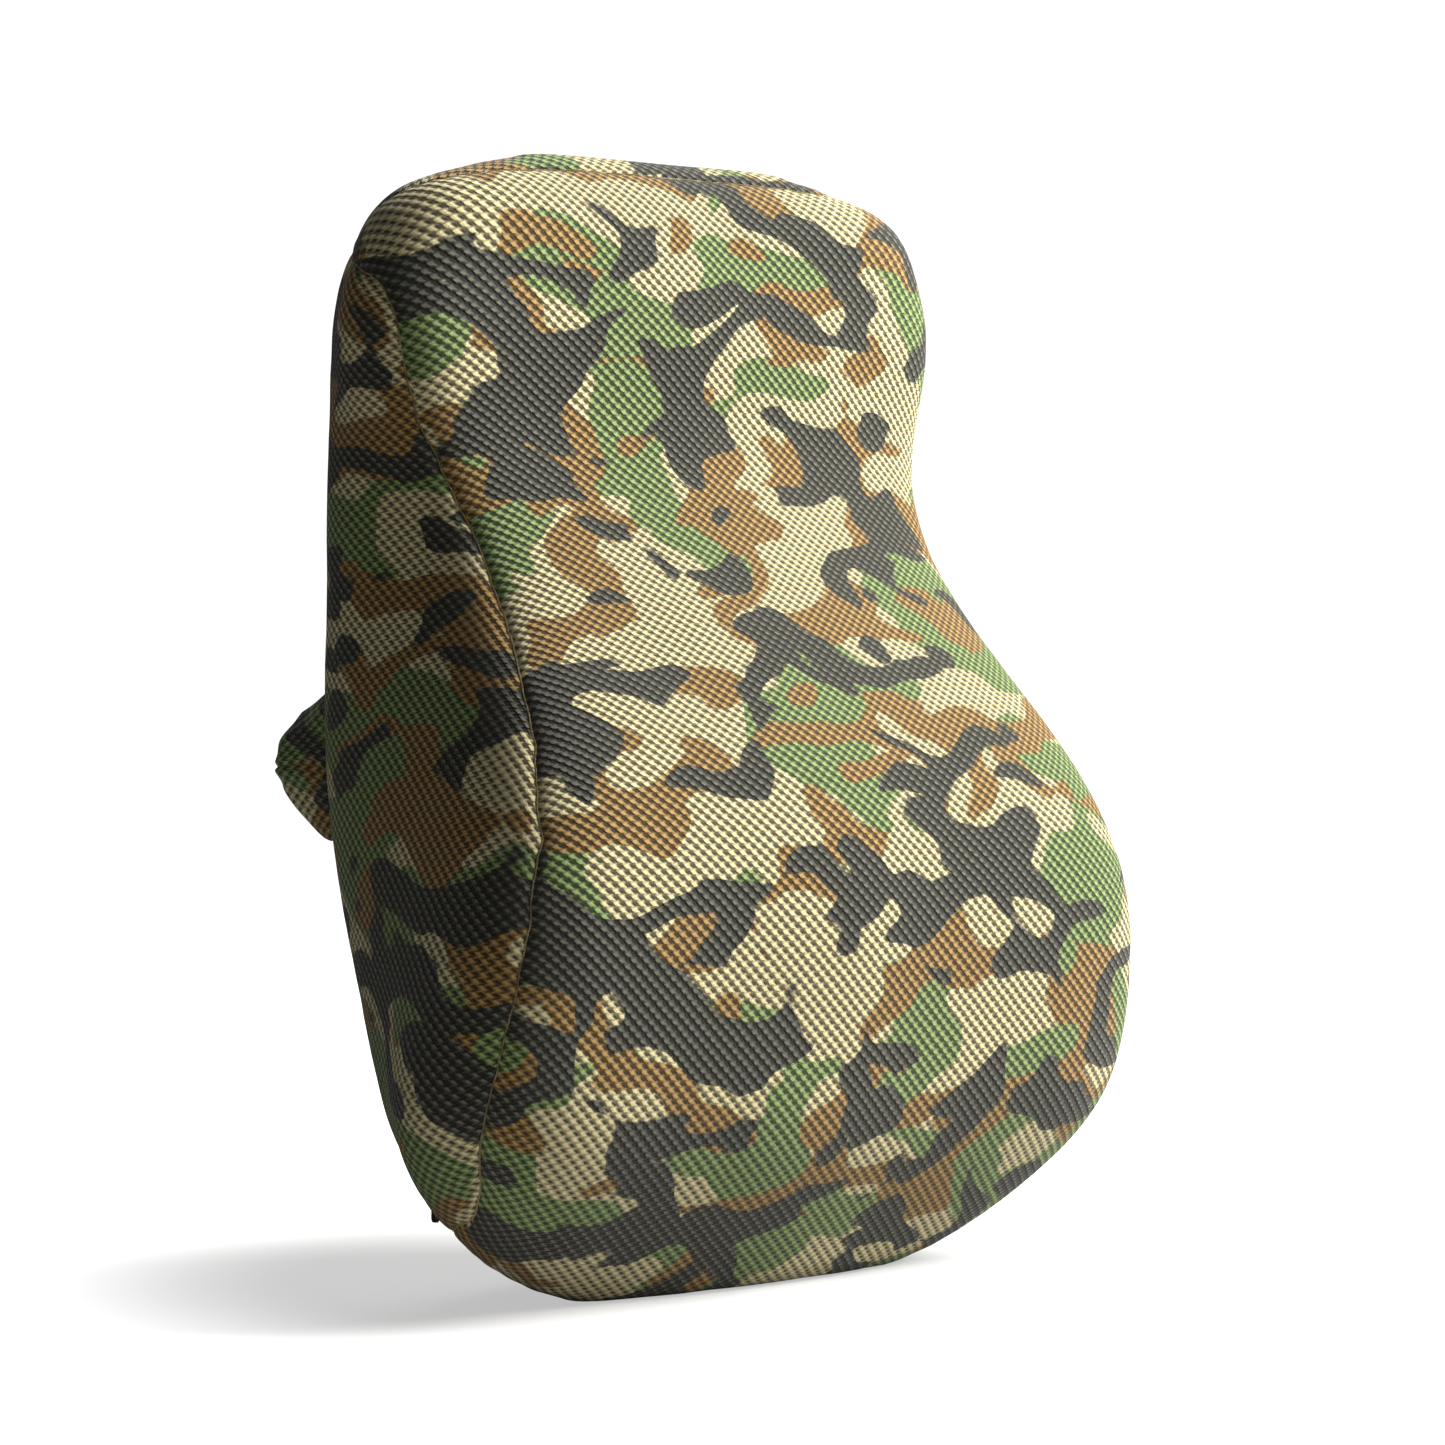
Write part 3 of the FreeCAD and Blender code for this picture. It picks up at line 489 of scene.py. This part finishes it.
# ---------------------------------------------------------------- the stuffed body
VOXEL = 5.5 * MM
VOXEL_SMOOTHINGS = 4        # passes that take the voxel steps out
COVER_DEPTH = 4 * MM        # foam core to the cover's outer face
COVER_THICKNESS = 1.5 * MM
HELD = 7 * MM               # cloth this near a seam or the zip is held
HELD_FOOT = 9 * MM          # and so is the foot, up to this height
PRESSURE, PRESSURE_FRAMES = 4, 20
SWELLING = (-0.4 * MM, 2.6 * MM)
SWELLING_FADES = 6          # passes that let the swelling fade in from the held places
SNAP = 0.25                 # a vertex nearer than this share of an edge is moved onto the line instead
SEAM_BAND = 7 * MM          # the mesh is finer this near a seam
FRONT, BACK, BASE, GORE_LEFT, GORE_RIGHT, SLOT = range(6)


def fuller(points):
    """How far the stuffing pushes the cover out: most low in front and at the shoulders."""
    height = points[:, 2] / MM
    forward = np.clip(-rear_of(points) / (22 * MM), 0, 1)
    low = 5.5 * np.exp(-((height - 66) / 34) ** 2)
    shoulder = 6 * np.exp(-((height - 402) / 15) ** 2)
    return ((1.2 + low) * forward + shoulder * (1 - np.exp(-(points[:, 0] / (60 * MM)) ** 2))) * MM


def swollen():
    """The foam core as a stuffed form: cloth under pressure, held at the seams, then grown to the cover."""
    source = frame["nodes"]["foam_core"].data.copy()
    work = bmesh.new()
    work.from_mesh(source)
    bmesh.ops.remove_doubles(work, verts=work.verts, dist=0.01 * MM)
    work.to_mesh(source)
    work.free()
    obj = bpy.data.objects.new("body_work", source)
    scene.collection.objects.link(obj)
    remesh = obj.modifiers.new("remesh", "REMESH")
    remesh.mode, remesh.voxel_size = "VOXEL", VOXEL
    obj.data = evaluated(obj, "body_voxels")
    obj.modifiers.clear()
    work = bmesh.new()
    work.from_mesh(obj.data)
    for _ in range(VOXEL_SMOOTHINGS):
        bmesh.ops.smooth_vert(
            work, verts=work.verts, factor=0.5, use_axis_x=True, use_axis_y=True, use_axis_z=True)
    work.to_mesh(obj.data)
    work.free()
    rest, normals = points_of(obj.data), normals_of(obj.data)
    grown = np.zeros(len(rest))
    seam = np.minimum(np.abs(front_of(rest)), np.abs(rear_of(rest))) < HELD
    zip_band = (rear_of(rest) > 0) & (rest[:, 2] > slot_low - HELD) & (rest[:, 2] < slot_high + HELD)
    held = seam | zip_band | (rest[:, 2] < HELD_FOOT)
    group = obj.vertex_groups.new(name="held")
    group.add([int(i) for i in np.nonzero(held)[0]], 1.0, "REPLACE")
    cloth = obj.modifiers.new("cloth", "CLOTH")
    settings = cloth.settings
    settings.quality, settings.mass = 4, 0.3
    settings.tension_stiffness = settings.compression_stiffness = 25
    settings.shear_stiffness, settings.bending_stiffness = 10, 2
    settings.use_pressure, settings.uniform_pressure_force = True, PRESSURE
    settings.vertex_group_mass = "held"
    settings.effector_weights.gravity = 0
    cloth.point_cache.frame_start, cloth.point_cache.frame_end = 1, PRESSURE_FRAMES
    for step in range(1, PRESSURE_FRAMES + 1):
        scene.frame_set(step)
    moved = points_of(evaluated(obj, "body_puffed"))
    grown = np.clip(((moved - rest) * normals).sum(axis=1), *SWELLING)
    obj.modifiers.clear()
    scene.frame_set(1)
    ends = np.array([e.vertices[:] for e in obj.data.edges])
    for _ in range(SWELLING_FADES):
        total, count = np.zeros(len(grown)), np.zeros(len(grown))
        for one, other in ((0, 1), (1, 0)):
            np.add.at(total, ends[:, one], grown[ends[:, other]])
            np.add.at(count, ends[:, one], 1)
        grown = 0.5 * grown + 0.5 * total / count
    new = rest + normals * (COVER_DEPTH + grown + fuller(rest))[:, None]
    new[:, 2] = np.maximum(new[:, 2], 0)
    obj.data.vertices.foreach_set("co", new.ravel())
    obj.data.update()
    return obj


def lay_line(work, value_of, where):
    """Lays a run of edges where value_of is zero, within the region that where allows."""
    work.verts.ensure_lookup_table()
    work.edges.ensure_lookup_table()
    work.verts.index_update()
    points = np.array([v.co[:] for v in work.verts])
    value, allowed = value_of(points), where(points)
    ends = np.array([(e.verts[0].index, e.verts[1].index) for e in work.edges])
    a, b = ends[:, 0], ends[:, 1]
    crossing = (value[a] * value[b] < 0) & allowed[a] & allowed[b]
    share = value[a] / np.where(value[a] == value[b], 1, value[a] - value[b])
    snapped = {}
    for e in np.nonzero(crossing)[0]:
        for vert, gap in ((a[e], share[e]), (b[e], 1 - share[e])):
            if gap < SNAP and gap < snapped.get(vert, (1, None))[0]:
                snapped[vert] = (gap, points[a[e]] + share[e] * (points[b[e]] - points[a[e]]))
    split = [e for e in np.nonzero(crossing)[0] if a[e] not in snapped and b[e] not in snapped]
    splits = [(work.edges[e], work.verts[a[e]], share[e]) for e in split]
    line = []
    for vert, (_, place) in snapped.items():
        work.verts[vert].co = place
        line.append(work.verts[vert])
    for edge, start, part in splits:
        line.append(bmesh.utils.edge_split(edge, start, part)[1])
    bmesh.ops.connect_verts(work, verts=line)
    return line


def cut_panels(obj):
    """Sews the panels' outlines into the mesh and gives each face its panel's number."""
    work = bmesh.new()
    work.from_mesh(obj.data)

    def everywhere(points):
        return np.ones(len(points), bool)

    def gore_here(points):
        return gore_width(points) > SPLIT

    def behind(points):
        return rear_of(points) > -0.8 * MM

    def above_low(points):
        return points[:, 2] - slot_low

    def above_high(points):
        return points[:, 2] - slot_high

    rules = {"front": (front_of, everywhere), "rear": (rear_of, gore_here),
             "low": (above_low, behind), "high": (above_high, behind)}
    tag = {key: set(lay_line(work, *rule)) for key, rule in rules.items()}
    work.verts.index_update()
    points = np.array([v.co[:] for v in work.verts])
    value = {key: value_of(points) for key, (value_of, _) in rules.items()}
    for key, line in tag.items():
        for v in line:
            value[key][v.index] = 0
    width = gore_width(points)
    for face in work.faces:
        index = [v.index for v in face.verts]
        total = {key: value[key][index].sum() for key in value}
        if total["front"] < 0:
            face.material_index = FRONT
        elif total["rear"] < 0 and width[index].mean() > SPLIT:
            face.material_index = GORE_LEFT if points[index, 0].mean() < 0 else GORE_RIGHT
        elif total["high"] > 0:
            face.material_index = BACK
        elif total["low"] < 0:
            face.material_index = BASE
        else:
            face.material_index = SLOT
    for edge in work.edges:
        edge.seam = len({f.material_index for f in edge.link_faces}) > 1
    work.to_mesh(obj.data)
    work.free()


def unwrap_cloth(obj):
    """Flattens each panel as it was cut from the roll: coordinates in millimetres, rows across, up along +v."""
    mesh = obj.data
    mesh.uv_layers.new(name="cloth")
    bpy.context.view_layer.objects.active = obj
    obj.select_set(True)
    bpy.ops.object.mode_set(mode="EDIT")
    bpy.ops.mesh.select_all(action="SELECT")
    bpy.ops.uv.unwrap(method="CONFORMAL", margin=0)
    bpy.ops.object.mode_set(mode="OBJECT")
    layer = mesh.uv_layers["cloth"].data
    flat = np.zeros(len(layer) * 2)
    layer.foreach_get("uv", flat)
    flat = flat.reshape(-1, 2)
    points = points_of(mesh)
    corner_vert = np.zeros(len(mesh.loops), int)
    mesh.loops.foreach_get("vertex_index", corner_vert)
    for panel in range(6):
        corners, area, flat_area = [], 0.0, 0.0
        for face in mesh.polygons:
            if face.material_index == panel:
                loops = list(face.loop_indices)
                corners += loops
                area += face.area
                u, v = flat[loops, 0], flat[loops, 1]
                flat_area += 0.5 * abs(np.dot(u, np.roll(v, 1)) - np.dot(v, np.roll(u, 1)))
        corners = np.array(corners)
        scale = math.sqrt(area / flat_area) / MM
        here = (flat[corners] - flat[corners].mean(axis=0)) * scale
        upward = points[corner_vert[corners], 2] if panel != BASE else -points[corner_vert[corners], 1]
        fit = np.linalg.lstsq(np.c_[here, np.ones(len(here))], upward, rcond=None)[0][:2]
        up = fit / np.linalg.norm(fit)
        flat[corners] = np.c_[here @ np.array([up[1], -up[0]]), here @ up]
    layer.foreach_set("uv", flat.ravel())


def refined(obj):
    """One subdivision everywhere and another along the seams, as a bmesh."""
    subdivision = obj.modifiers.new("subdivision", "SUBSURF")
    subdivision.levels = subdivision.render_levels = 1
    mesh = evaluated(obj, "body_smooth")
    obj.modifiers.clear()
    work = bmesh.new()
    work.from_mesh(mesh)
    tree = seam_tree(work)[0]
    close = {v for v in work.verts if tree.find(v.co)[2] < SEAM_BAND}
    bmesh.ops.subdivide_edges(
        work, edges=[e for e in work.edges if e.verts[0] in close and e.verts[1] in close],
        cuts=1, use_grid_fill=True)
    return work


def seam_tree(work):
    """A search tree of the seams' points, and the seam edges with the pair of panels each joins."""
    seams = []
    for edge in work.edges:
        pair = {f.material_index for f in edge.link_faces}
        if len(pair) > 1:
            seams.append((edge, pair))
    tree = KDTree(len(seams) * 2)
    for i, (edge, _) in enumerate(seams):
        tree.insert(edge.verts[0].co, i)
        tree.insert((edge.verts[0].co + edge.verts[1].co) / 2, i)
    tree.balance()
    return tree, seams


def sew(work):
    """Pulls the seams in, with small puckers along them, and returns the seams' edges."""
    tree, seams = seam_tree(work)
    work.normal_update()
    shifts = []
    for v in work.verts:
        _, i, gap = tree.find(v.co)
        pair = seams[i][1]
        gap /= MM
        if v.co.z < 0.6 * MM:
            shifts.append(0)
            continue
        hem = SLOT in pair
        depth = (0.25 if hem else 1.25) * math.exp(-gap / 1.8) + (0 if hem else 0.45) * math.exp(-gap / 7)
        pucker = 0 if hem else 0.4 * math.exp(-gap / 8) * noise.noise(v.co * 85)
        broad = 0.5 * noise.noise(v.co * 22 + Vector((7, 3, 5)))
        shifts.append((broad + pucker - depth) * MM)
    for v, shift in zip(work.verts, shifts):
        v.co += v.normal * shift
        v.co.z = max(v.co.z, 0)
    work.normal_update()
    return seams


def chains(edges):
    """Runs of joined edges, as lists of vertices in order, split where more than two edges meet."""
    around = {}
    for edge in edges:
        for v in edge.verts:
            around.setdefault(v, []).append(edge)
    unused, runs = set(edges), []
    starts = [v for v, es in around.items() if len(es) != 2] + list(around)
    for start in starts:
        for first in around[start]:
            if first not in unused:
                continue
            run, edge, v = [start], first, start
            while edge in unused:
                unused.discard(edge)
                v = edge.other_vert(v)
                run.append(v)
                onward = [e for e in around[v] if e in unused]
                if len(around[v]) != 2 or not onward:
                    break
                edge = onward[0]
            runs.append(run)
    return runs


def panel_mesh(work, number, name):
    """One panel's faces as their own mesh, with its cloth coordinates."""
    layer = work.loops.layers.uv.verify()
    index, verts, faces, weave = {}, [], [], []
    for face in work.faces:
        if face.material_index == number:
            corner = []
            for loop in face.loops:
                if loop.vert not in index:
                    index[loop.vert] = len(verts)
                    verts.append(loop.vert.co[:])
                corner.append(index[loop.vert])
                weave.append((*loop[layer].uv, 0.0))
            faces.append(corner)
    mesh = bpy.data.meshes.new(name)
    mesh.from_pydata(verts, [], faces)
    store_weave(mesh, weave, "CORNER")
    return mesh


def thickened(obj, depth):
    """Gives a fabric piece its thickness, inwards."""
    solid = obj.modifiers.new("thickness", "SOLIDIFY")
    solid.thickness, solid.offset, solid.use_even_offset = depth, -1, False


STITCH = 2.8        # mm
THREAD = 0.34       # radius, mm


def seam_thread(runs, node, material):
    """The row of stitches along a seam, as raised thread."""
    made = []
    for run in runs:
        if len(run) < 4:
            continue
        whole = np.array([(*v.co, *v.normal) for v in run])
        for _ in range(4):      # takes the mesh's small zigzag out of the line
            whole[1:-1] = 0.5 * whole[1:-1] + 0.25 * (whole[:-2] + whole[2:])
        even, places = resampled(whole, 0.45 * MM)
        even[:, 2] = np.maximum(even[:, 2], 2 * THREAD * MM)
        beat = np.abs(np.sin(math.pi * places / MM / STITCH))
        made.append(cord(even[:, :3], even[:, 3:], (0.55 + 0.45 * beat ** 0.5) * THREAD * MM,
                         lift=(0.25 * beat + 0.05) * MM))
    name = node + "_stitches"
    piece(name, merged(made, name), "cushion", material, (node,))


def build_body():
    body = swollen()
    cut_panels(body)
    unwrap_cloth(body)
    work = refined(body)
    seams = sew(work)
    shifts = {FRONT: (0, 0, 0), BACK: (340, 120, 40), BASE: (120, 640, 80),
              GORE_LEFT: (910, 77, 120), GORE_RIGHT: (505, 333, 160)}
    rows = ((FRONT, "cover_front_panel", "cover_front"), (BACK, "cover_back_panel", "cover_back"),
            (BASE, "cover_base_panel", "cover_base"), (GORE_LEFT, "gore_panel_left", "gore_left"),
            (GORE_RIGHT, "gore_panel_right", "gore_right"))
    for number, name, node in rows:
        cloth = spacer_knit("mesh_fabric_" + node, shifts[number])
        obj = piece(name, panel_mesh(work, number, name), "cushion", cloth, (node,))
        thickened(obj, COVER_THICKNESS)
    thread = twisted_thread("seam_thread_tan", rgb(206, 188, 146), rgb(120, 102, 70))
    groups = {"gore_seam_left": [], "gore_seam_right": [], "top_seam": [], "bottom_seam": []}
    for edge, pair in seams:
        if SLOT in pair:
            continue
        if GORE_LEFT in pair:
            groups["gore_seam_left"].append(edge)
        elif GORE_RIGHT in pair:
            groups["gore_seam_right"].append(edge)
        else:
            high = edge.verts[0].co.z > 0.2
            groups["top_seam" if high else "bottom_seam"].append(edge)
    for node, edges in groups.items():
        seam_thread(chains(edges), node, thread)
    work.free()
    return body


body_work = build_body()


def inner_piece(name, node, inset, material):
    """The foam or its liner: the stuffed form again, drawn in from the cover."""
    mesh = body_work.data.copy()
    mesh.uv_layers.remove(mesh.uv_layers["cloth"])
    points, normals = points_of(mesh), normals_of(mesh)
    mesh.vertices.foreach_set("co", (points - normals * inset).ravel())
    mesh.polygons.foreach_set("material_index", [0] * len(mesh.polygons))
    piece(name, mesh, "cushion", material, (node,))
    mesh.update()


inner_piece("foam_core_form", "foam_core", 4.6 * MM, foam_material())
inner_piece("inner_liner_sock", "inner_liner", 4.0 * MM,
            fine_knit("liner_jersey", rgb(226, 222, 210), rgb(150, 146, 134), 1.4))
bpy.data.objects.remove(body_work)


# ---------------------------------------------------------------- zip
zip_joint = next(j for j in frame["joints"] if j["name"] == "zip_run")
ZIP_AXIS = np.array(zip_joint["pos_m"][:2])


def zip_frame(node):
    """Inner and outer radius, lowest and highest point of a zip part's section, and its half sweep."""
    points = points_of(frame["nodes"][node].data)
    radius = np.hypot(points[:, 0] - ZIP_AXIS[0], points[:, 1] - ZIP_AXIS[1])
    sweep = np.arctan2(points[:, 0], points[:, 1] - ZIP_AXIS[1])
    return radius.min(), radius.max(), points[:, 2].min(), points[:, 2].max(), sweep.max()


def coil_turns(node):
    """One side of the zip: a nylon wire wound along the tape's edge."""
    inner, outer, low, high, sweep = zip_frame(node)
    middle, height = (inner + outer) / 2, (low + high) / 2
    wire, pitch, steps = 0.26 * MM, 1.15 * MM, 10
    turns = int(2 * sweep * middle / pitch)
    path, normals = [], []
    for k in range(turns * steps + 1):
        at = -sweep + 2 * sweep * k / (turns * steps)
        angle = 2 * math.pi * k / steps
        out = (outer - inner) / 2 - wire
        up = (high - low) / 2 - wire
        radius = middle + out * math.cos(angle)
        path.append((ZIP_AXIS[0] + radius * math.sin(at), ZIP_AXIS[1] + radius * math.cos(at),
                     height + up * math.sin(angle)))
        normals.append((math.sin(at), math.cos(at), 0))
    # the path's own turning gives the ring directions, so the normal is only a guide
    return cord(path, normals, wire, 5)


coil_plastic = moulded("zip_coil_nylon", rgb(52, 50, 44), rgb(96, 92, 80), 0.35)
for label in ("upper", "lower"):
    node = "zip_coil_" + label
    piece(node + "_turns", coil_turns(node), "cushion", coil_plastic, (node,))


# ---------------------------------------------------------------- strap
def rounded_strip(width, depth, across=9):
    """Section of a strap: (depth, width) offsets round a flat strip with rounded edges."""
    half, radius = width / 2, depth / 2
    side = [(radius, half * (2 * k / across - 1) * 0.97) for k in range(across + 1)]
    top = [(radius * math.cos(t), half * 0.97 + radius * math.sin(t) * 0.6) for t in (0.6, 1.57, 2.5)]
    return side + top + [(-d, -w) for d, w in side] + [(-d, -w) for d, w in top]


def ribbon(plan, height, width, depth):
    """A strap that stands on edge along a plan path, bowed a little across its width."""
    plan, places = resampled(plan, 1.2 * MM)
    ahead = np.gradient(plan, axis=0)
    ahead /= np.linalg.norm(ahead, axis=1)[:, None]
    side = np.c_[ahead[:, 1], -ahead[:, 0]]
    section = rounded_strip(width, depth)
    rings, weave = [], []
    for i, (x, y) in enumerate(plan):
        ring = []
        for d, w in section:
            bow = 0.15 * MM * math.cos(w / width * 6)
            ring.append((x + side[i][0] * (d + bow), y + side[i][1] * (d + bow), height + w))
        rings.append(ring)
        weave.append([(places[i] / MM, w / MM, 0) for _, w in section])
    return lofted(rings, weave=weave)


STRAP_Z = (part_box("webbing_left")[0].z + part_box("webbing_left")[1].z) / 2
WEB_WIDTH, WEB_DEPTH = 25 * MM, 1.3 * MM
TAIL_END, FOLD_END = -97 * MM, 50 * MM      # where the two folded-back layers stop


def webbing_plan(node, side, bar_x, fold_x):
    """Plan path of one strap half: in from the ear, round the buckle's bar, and back behind itself."""
    low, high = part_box(node)
    front, rear = low.y + WEB_DEPTH / 2, high.y - WEB_DEPTH / 2
    outer = high.x if side > 0 else low.x
    centre, radius = (front + rear) / 2, (rear - front) / 2
    bend = [(bar_x - side * radius * math.sin(t), centre - radius * math.cos(t))
            for t in np.linspace(0, math.pi, 9)]
    return [(outer, front)] + bend + [(fold_x, rear)]


strap_weave = woven("webbing_black", rgb(58, 56, 52), rgb(20, 20, 19), 1.6, 1.5)
left_low, left_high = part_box("webbing_left")
right_low, right_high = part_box("webbing_right")
BEND = (left_high.y - left_low.y) / 2
left_plan = webbing_plan("webbing_left", -1, left_high.x - BEND, TAIL_END)
right_plan = webbing_plan("webbing_right", 1, right_low.x + BEND, FOLD_END)
piece("webbing_left_strap", ribbon(left_plan, STRAP_Z, WEB_WIDTH, WEB_DEPTH),
      "cushion", strap_weave, ("webbing_left",))
right_web = piece("webbing_right_strap", ribbon(right_plan, STRAP_Z, WEB_WIDTH, WEB_DEPTH),
                  None, strap_weave, ("webbing_right",))
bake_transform(right_web)


EAR_ROOT, EAR_TIP = 28.5, 13.5      # half heights where the tab is sewn in and where it meets the webbing, mm
EAR_STEPS = 28                      # points across the tab


def ear_path():
    """Plan of a tab's middle: back from the rear seam, round the corner, then in behind the cushion."""
    low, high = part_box("strap_ear_right")
    outer, rear = high.x - 1.6 * MM, high.y - 1.6 * MM
    radius = 12.5 * MM
    start = [(outer - 1.5 * MM, 56 * MM), (outer, 66 * MM), (outer, rear - radius)]
    bend = [(outer - radius + radius * math.cos(t), rear - radius + radius * math.sin(t))
            for t in np.linspace(0.15, math.pi / 2, 9)]
    return start + bend + [(low.x, rear)]


def ear(side):
    """A gathered tab of the cover fabric: wide where it is sewn in, pleated down to the webbing's width."""
    plan, places = resampled(ear_path(), 1.0 * MM)
    ahead = np.gradient(plan, axis=0)
    ahead /= np.linalg.norm(ahead, axis=1)[:, None]
    outward = np.c_[ahead[:, 1], -ahead[:, 0]]
    rings, weave = [], []
    for i, (x, y) in enumerate(plan):
        s = places[i] / places[-1]
        ease = min(1, max(0, (s - 0.1) / 0.6))
        ease = ease * ease * (3 - 2 * ease)
        half = (EAR_ROOT + (EAR_TIP - EAR_ROOT) * ease) * MM
        bulge = math.sin(math.pi * min(1, s * 1.15)) ** 1.2
        layers = []
        for face in (1, -1):
            for k in range(EAR_STEPS + 1):
                t = (2 * k / EAR_STEPS - 1) * face
                edge = 1 - abs(t) ** 6
                crease = math.exp(-((t + 0.06) / 0.07) ** 2)
                pleat = math.cos(t * 9 + 1.1) * 0.9 * bulge * (0.35 + 0.65 * abs(t))
                depth = (1.15 + 0.9 * bulge * (1 - t * t)) * edge * face
                shift = -6.5 * bulge * abs(t) ** 1.7 - 1.7 * bulge * crease + pleat
                d = (depth + shift) * MM
                z = STRAP_Z + half * t + 1.2 * MM * math.sin(s * 7 + t * 3) * bulge
                layers.append((side * (x + outward[i][0] * d), y + outward[i][1] * d, z, t * half / MM * 1.25))
        rings.append([p[:3] for p in layers])
        weave.append([(places[i] / MM * 0.8, p[3] * 0.8, 0) for p in layers])
    return lofted(rings, weave=weave)


for side, label, shift in ((-1, "left", (740, 520, 9)), (1, "right", (60, 905, 18))):
    node = "strap_ear_" + label
    cloth = spacer_knit("mesh_fabric_" + node, shift)
    piece(node + "_tab", ear(side), "cushion", cloth, (node,))


# ---------------------------------------------------------------- CAD nodes that stay
def dressed(node, material, edge=0.0):
    """Gives a CAD node its material, and rounds its edges with modifiers where asked."""
    obj = frame["nodes"][node]
    obj.data.materials.clear()
    obj.data.materials.append(material)
    if edge:
        weld = obj.modifiers.new("weld", "WELD")
        weld.merge_threshold = 0.01 * MM
        bevel = obj.modifiers.new("edges", "BEVEL")
        bevel.width, bevel.segments, bevel.limit_method = edge, 2, "ANGLE"
        bevel.angle_limit = math.radians(35)
        bevel.use_clamp_overlap = True


buckle_plastic = moulded("buckle_acetal", rgb(30, 30, 30), rgb(70, 68, 64), 0.4)
dressed("buckle_female", buckle_plastic, 0.4 * MM)
dressed("buckle_male", buckle_plastic, 0.4 * MM)
dressed("strap_glide", buckle_plastic, 0.35 * MM)
dressed("strap_keeper", woven("keeper_elastic", rgb(64, 62, 58), rgb(24, 24, 22), 1.2, 0.9, False))
tape = woven("zip_tape_twill", rgb(74, 70, 58), rgb(34, 32, 26), 1.0, 1.0, False)
dressed("zip_tape_upper", tape)
dressed("zip_tape_lower", tape)
metal = moulded("zip_metal", rgb(150, 148, 142), rgb(205, 202, 196), 0.3, 3.0, 1.0)
dressed("zip_stops", metal)
dressed("zip_ring", metal)
slider_paint = moulded("zip_slider_paint", rgb(40, 39, 36), rgb(120, 116, 106), 0.35, 3.0, 0.3)
dressed("zip_slider", slider_paint, 0.2 * MM)
dressed("zip_pull", moulded("zip_pull_plastic", rgb(26, 26, 25), rgb(60, 60, 56), 0.5), 0.3 * MM)


# ---------------------------------------------------------------- stage
def floor_material():
    """Pale and matt; towards the distance it turns to the backdrop's white, so that no horizon shows."""
    paint = Paint("floor_pale", 0.9)
    paint.set("Base Color", (0.45, 0.45, 0.45, 1))
    paint.set("Emission Color", (1, 1, 1, 1))
    distance = paint.node("ShaderNodeVectorMath", operation="LENGTH")
    paint.feed(distance.inputs[0], paint.node("ShaderNodeTexCoord").outputs["Object"])
    far = paint.step(distance.outputs["Value"], 0.15, 0.3)
    seen = paint.node("ShaderNodeLightPath").outputs["Is Camera Ray"]
    paint.set("Emission Strength", paint.times(seen, paint.add(0.5, paint.times(far, 0.6))))
    return paint.material


floor_mesh = bpy.data.meshes.new("floor")
floor_mesh.from_pydata([(-9, -9, 0), (9, -9, 0), (9, 9, 0), (-9, 9, 0)], [], [(0, 1, 2, 3)])
floor = bpy.data.objects.new("floor", floor_mesh)
scene.collection.objects.link(floor)
floor_mesh.materials.append(floor_material())
floor.location.z = -0.1 * MM


def lamp(name, place, target, size, power, colour=(1, 1, 1)):
    light = bpy.data.lights.new(name, "AREA")
    light.size, light.energy, light.color = size, power, colour
    obj = bpy.data.objects.new(name, light)
    obj.location = place
    obj.rotation_euler = (Vector(target) - Vector(place)).to_track_quat("-Z", "Y").to_euler()
    scene.collection.objects.link(obj)


CENTRE = (0, 0, 0.2)
lamp("key", (1.35, -1.05, 1.45), CENTRE, 1.2, 128, (1.0, 0.985, 0.955))
lamp("over", (0.9, 0.9, 1.7), CENTRE, 0.9, 11)

world = bpy.data.worlds.new("studio")
world.use_nodes = True
nodes = world.node_tree.nodes
background = nodes["Background"]
seen = nodes.new("ShaderNodeLightPath")
bright = nodes.new("ShaderNodeMix")
bright.data_type = "FLOAT"
bright.inputs[2].default_value, bright.inputs[3].default_value = 0.06, 1.1
world.node_tree.links.new(seen.outputs["Is Camera Ray"], bright.inputs[0])
world.node_tree.links.new(bright.outputs[0], background.inputs["Strength"])
background.inputs["Color"].default_value = (1, 1, 1, 1)
scene.world = world
scene.view_settings.view_transform = "Standard"

PHOTO = 1445            # side of the photograph's frame, pixels
AZIMUTH, ELEVATION = math.radians(-43.7), math.radians(1.23)
TARGET, DISTANCE, FOCAL = Vector((0, -0.0025, 0.215)), 1.889, 4935
camera_data = bpy.data.cameras.new("camera")
camera_data.lens = camera_data.sensor_width * FOCAL / PHOTO
camera_data.shift_x = (PHOTO / 2 - 707.4) / PHOTO
camera_data.shift_y = (716.6 - PHOTO / 2) / PHOTO
camera = bpy.data.objects.new("camera", camera_data)
toward = Vector((math.sin(AZIMUTH) * math.cos(ELEVATION), -math.cos(AZIMUTH) * math.cos(ELEVATION),
                 math.sin(ELEVATION)))
camera.location = TARGET + toward * DISTANCE
camera.rotation_euler = (-toward).to_track_quat("-Z", "Y").to_euler()
scene.collection.objects.link(camera)
scene.camera = camera
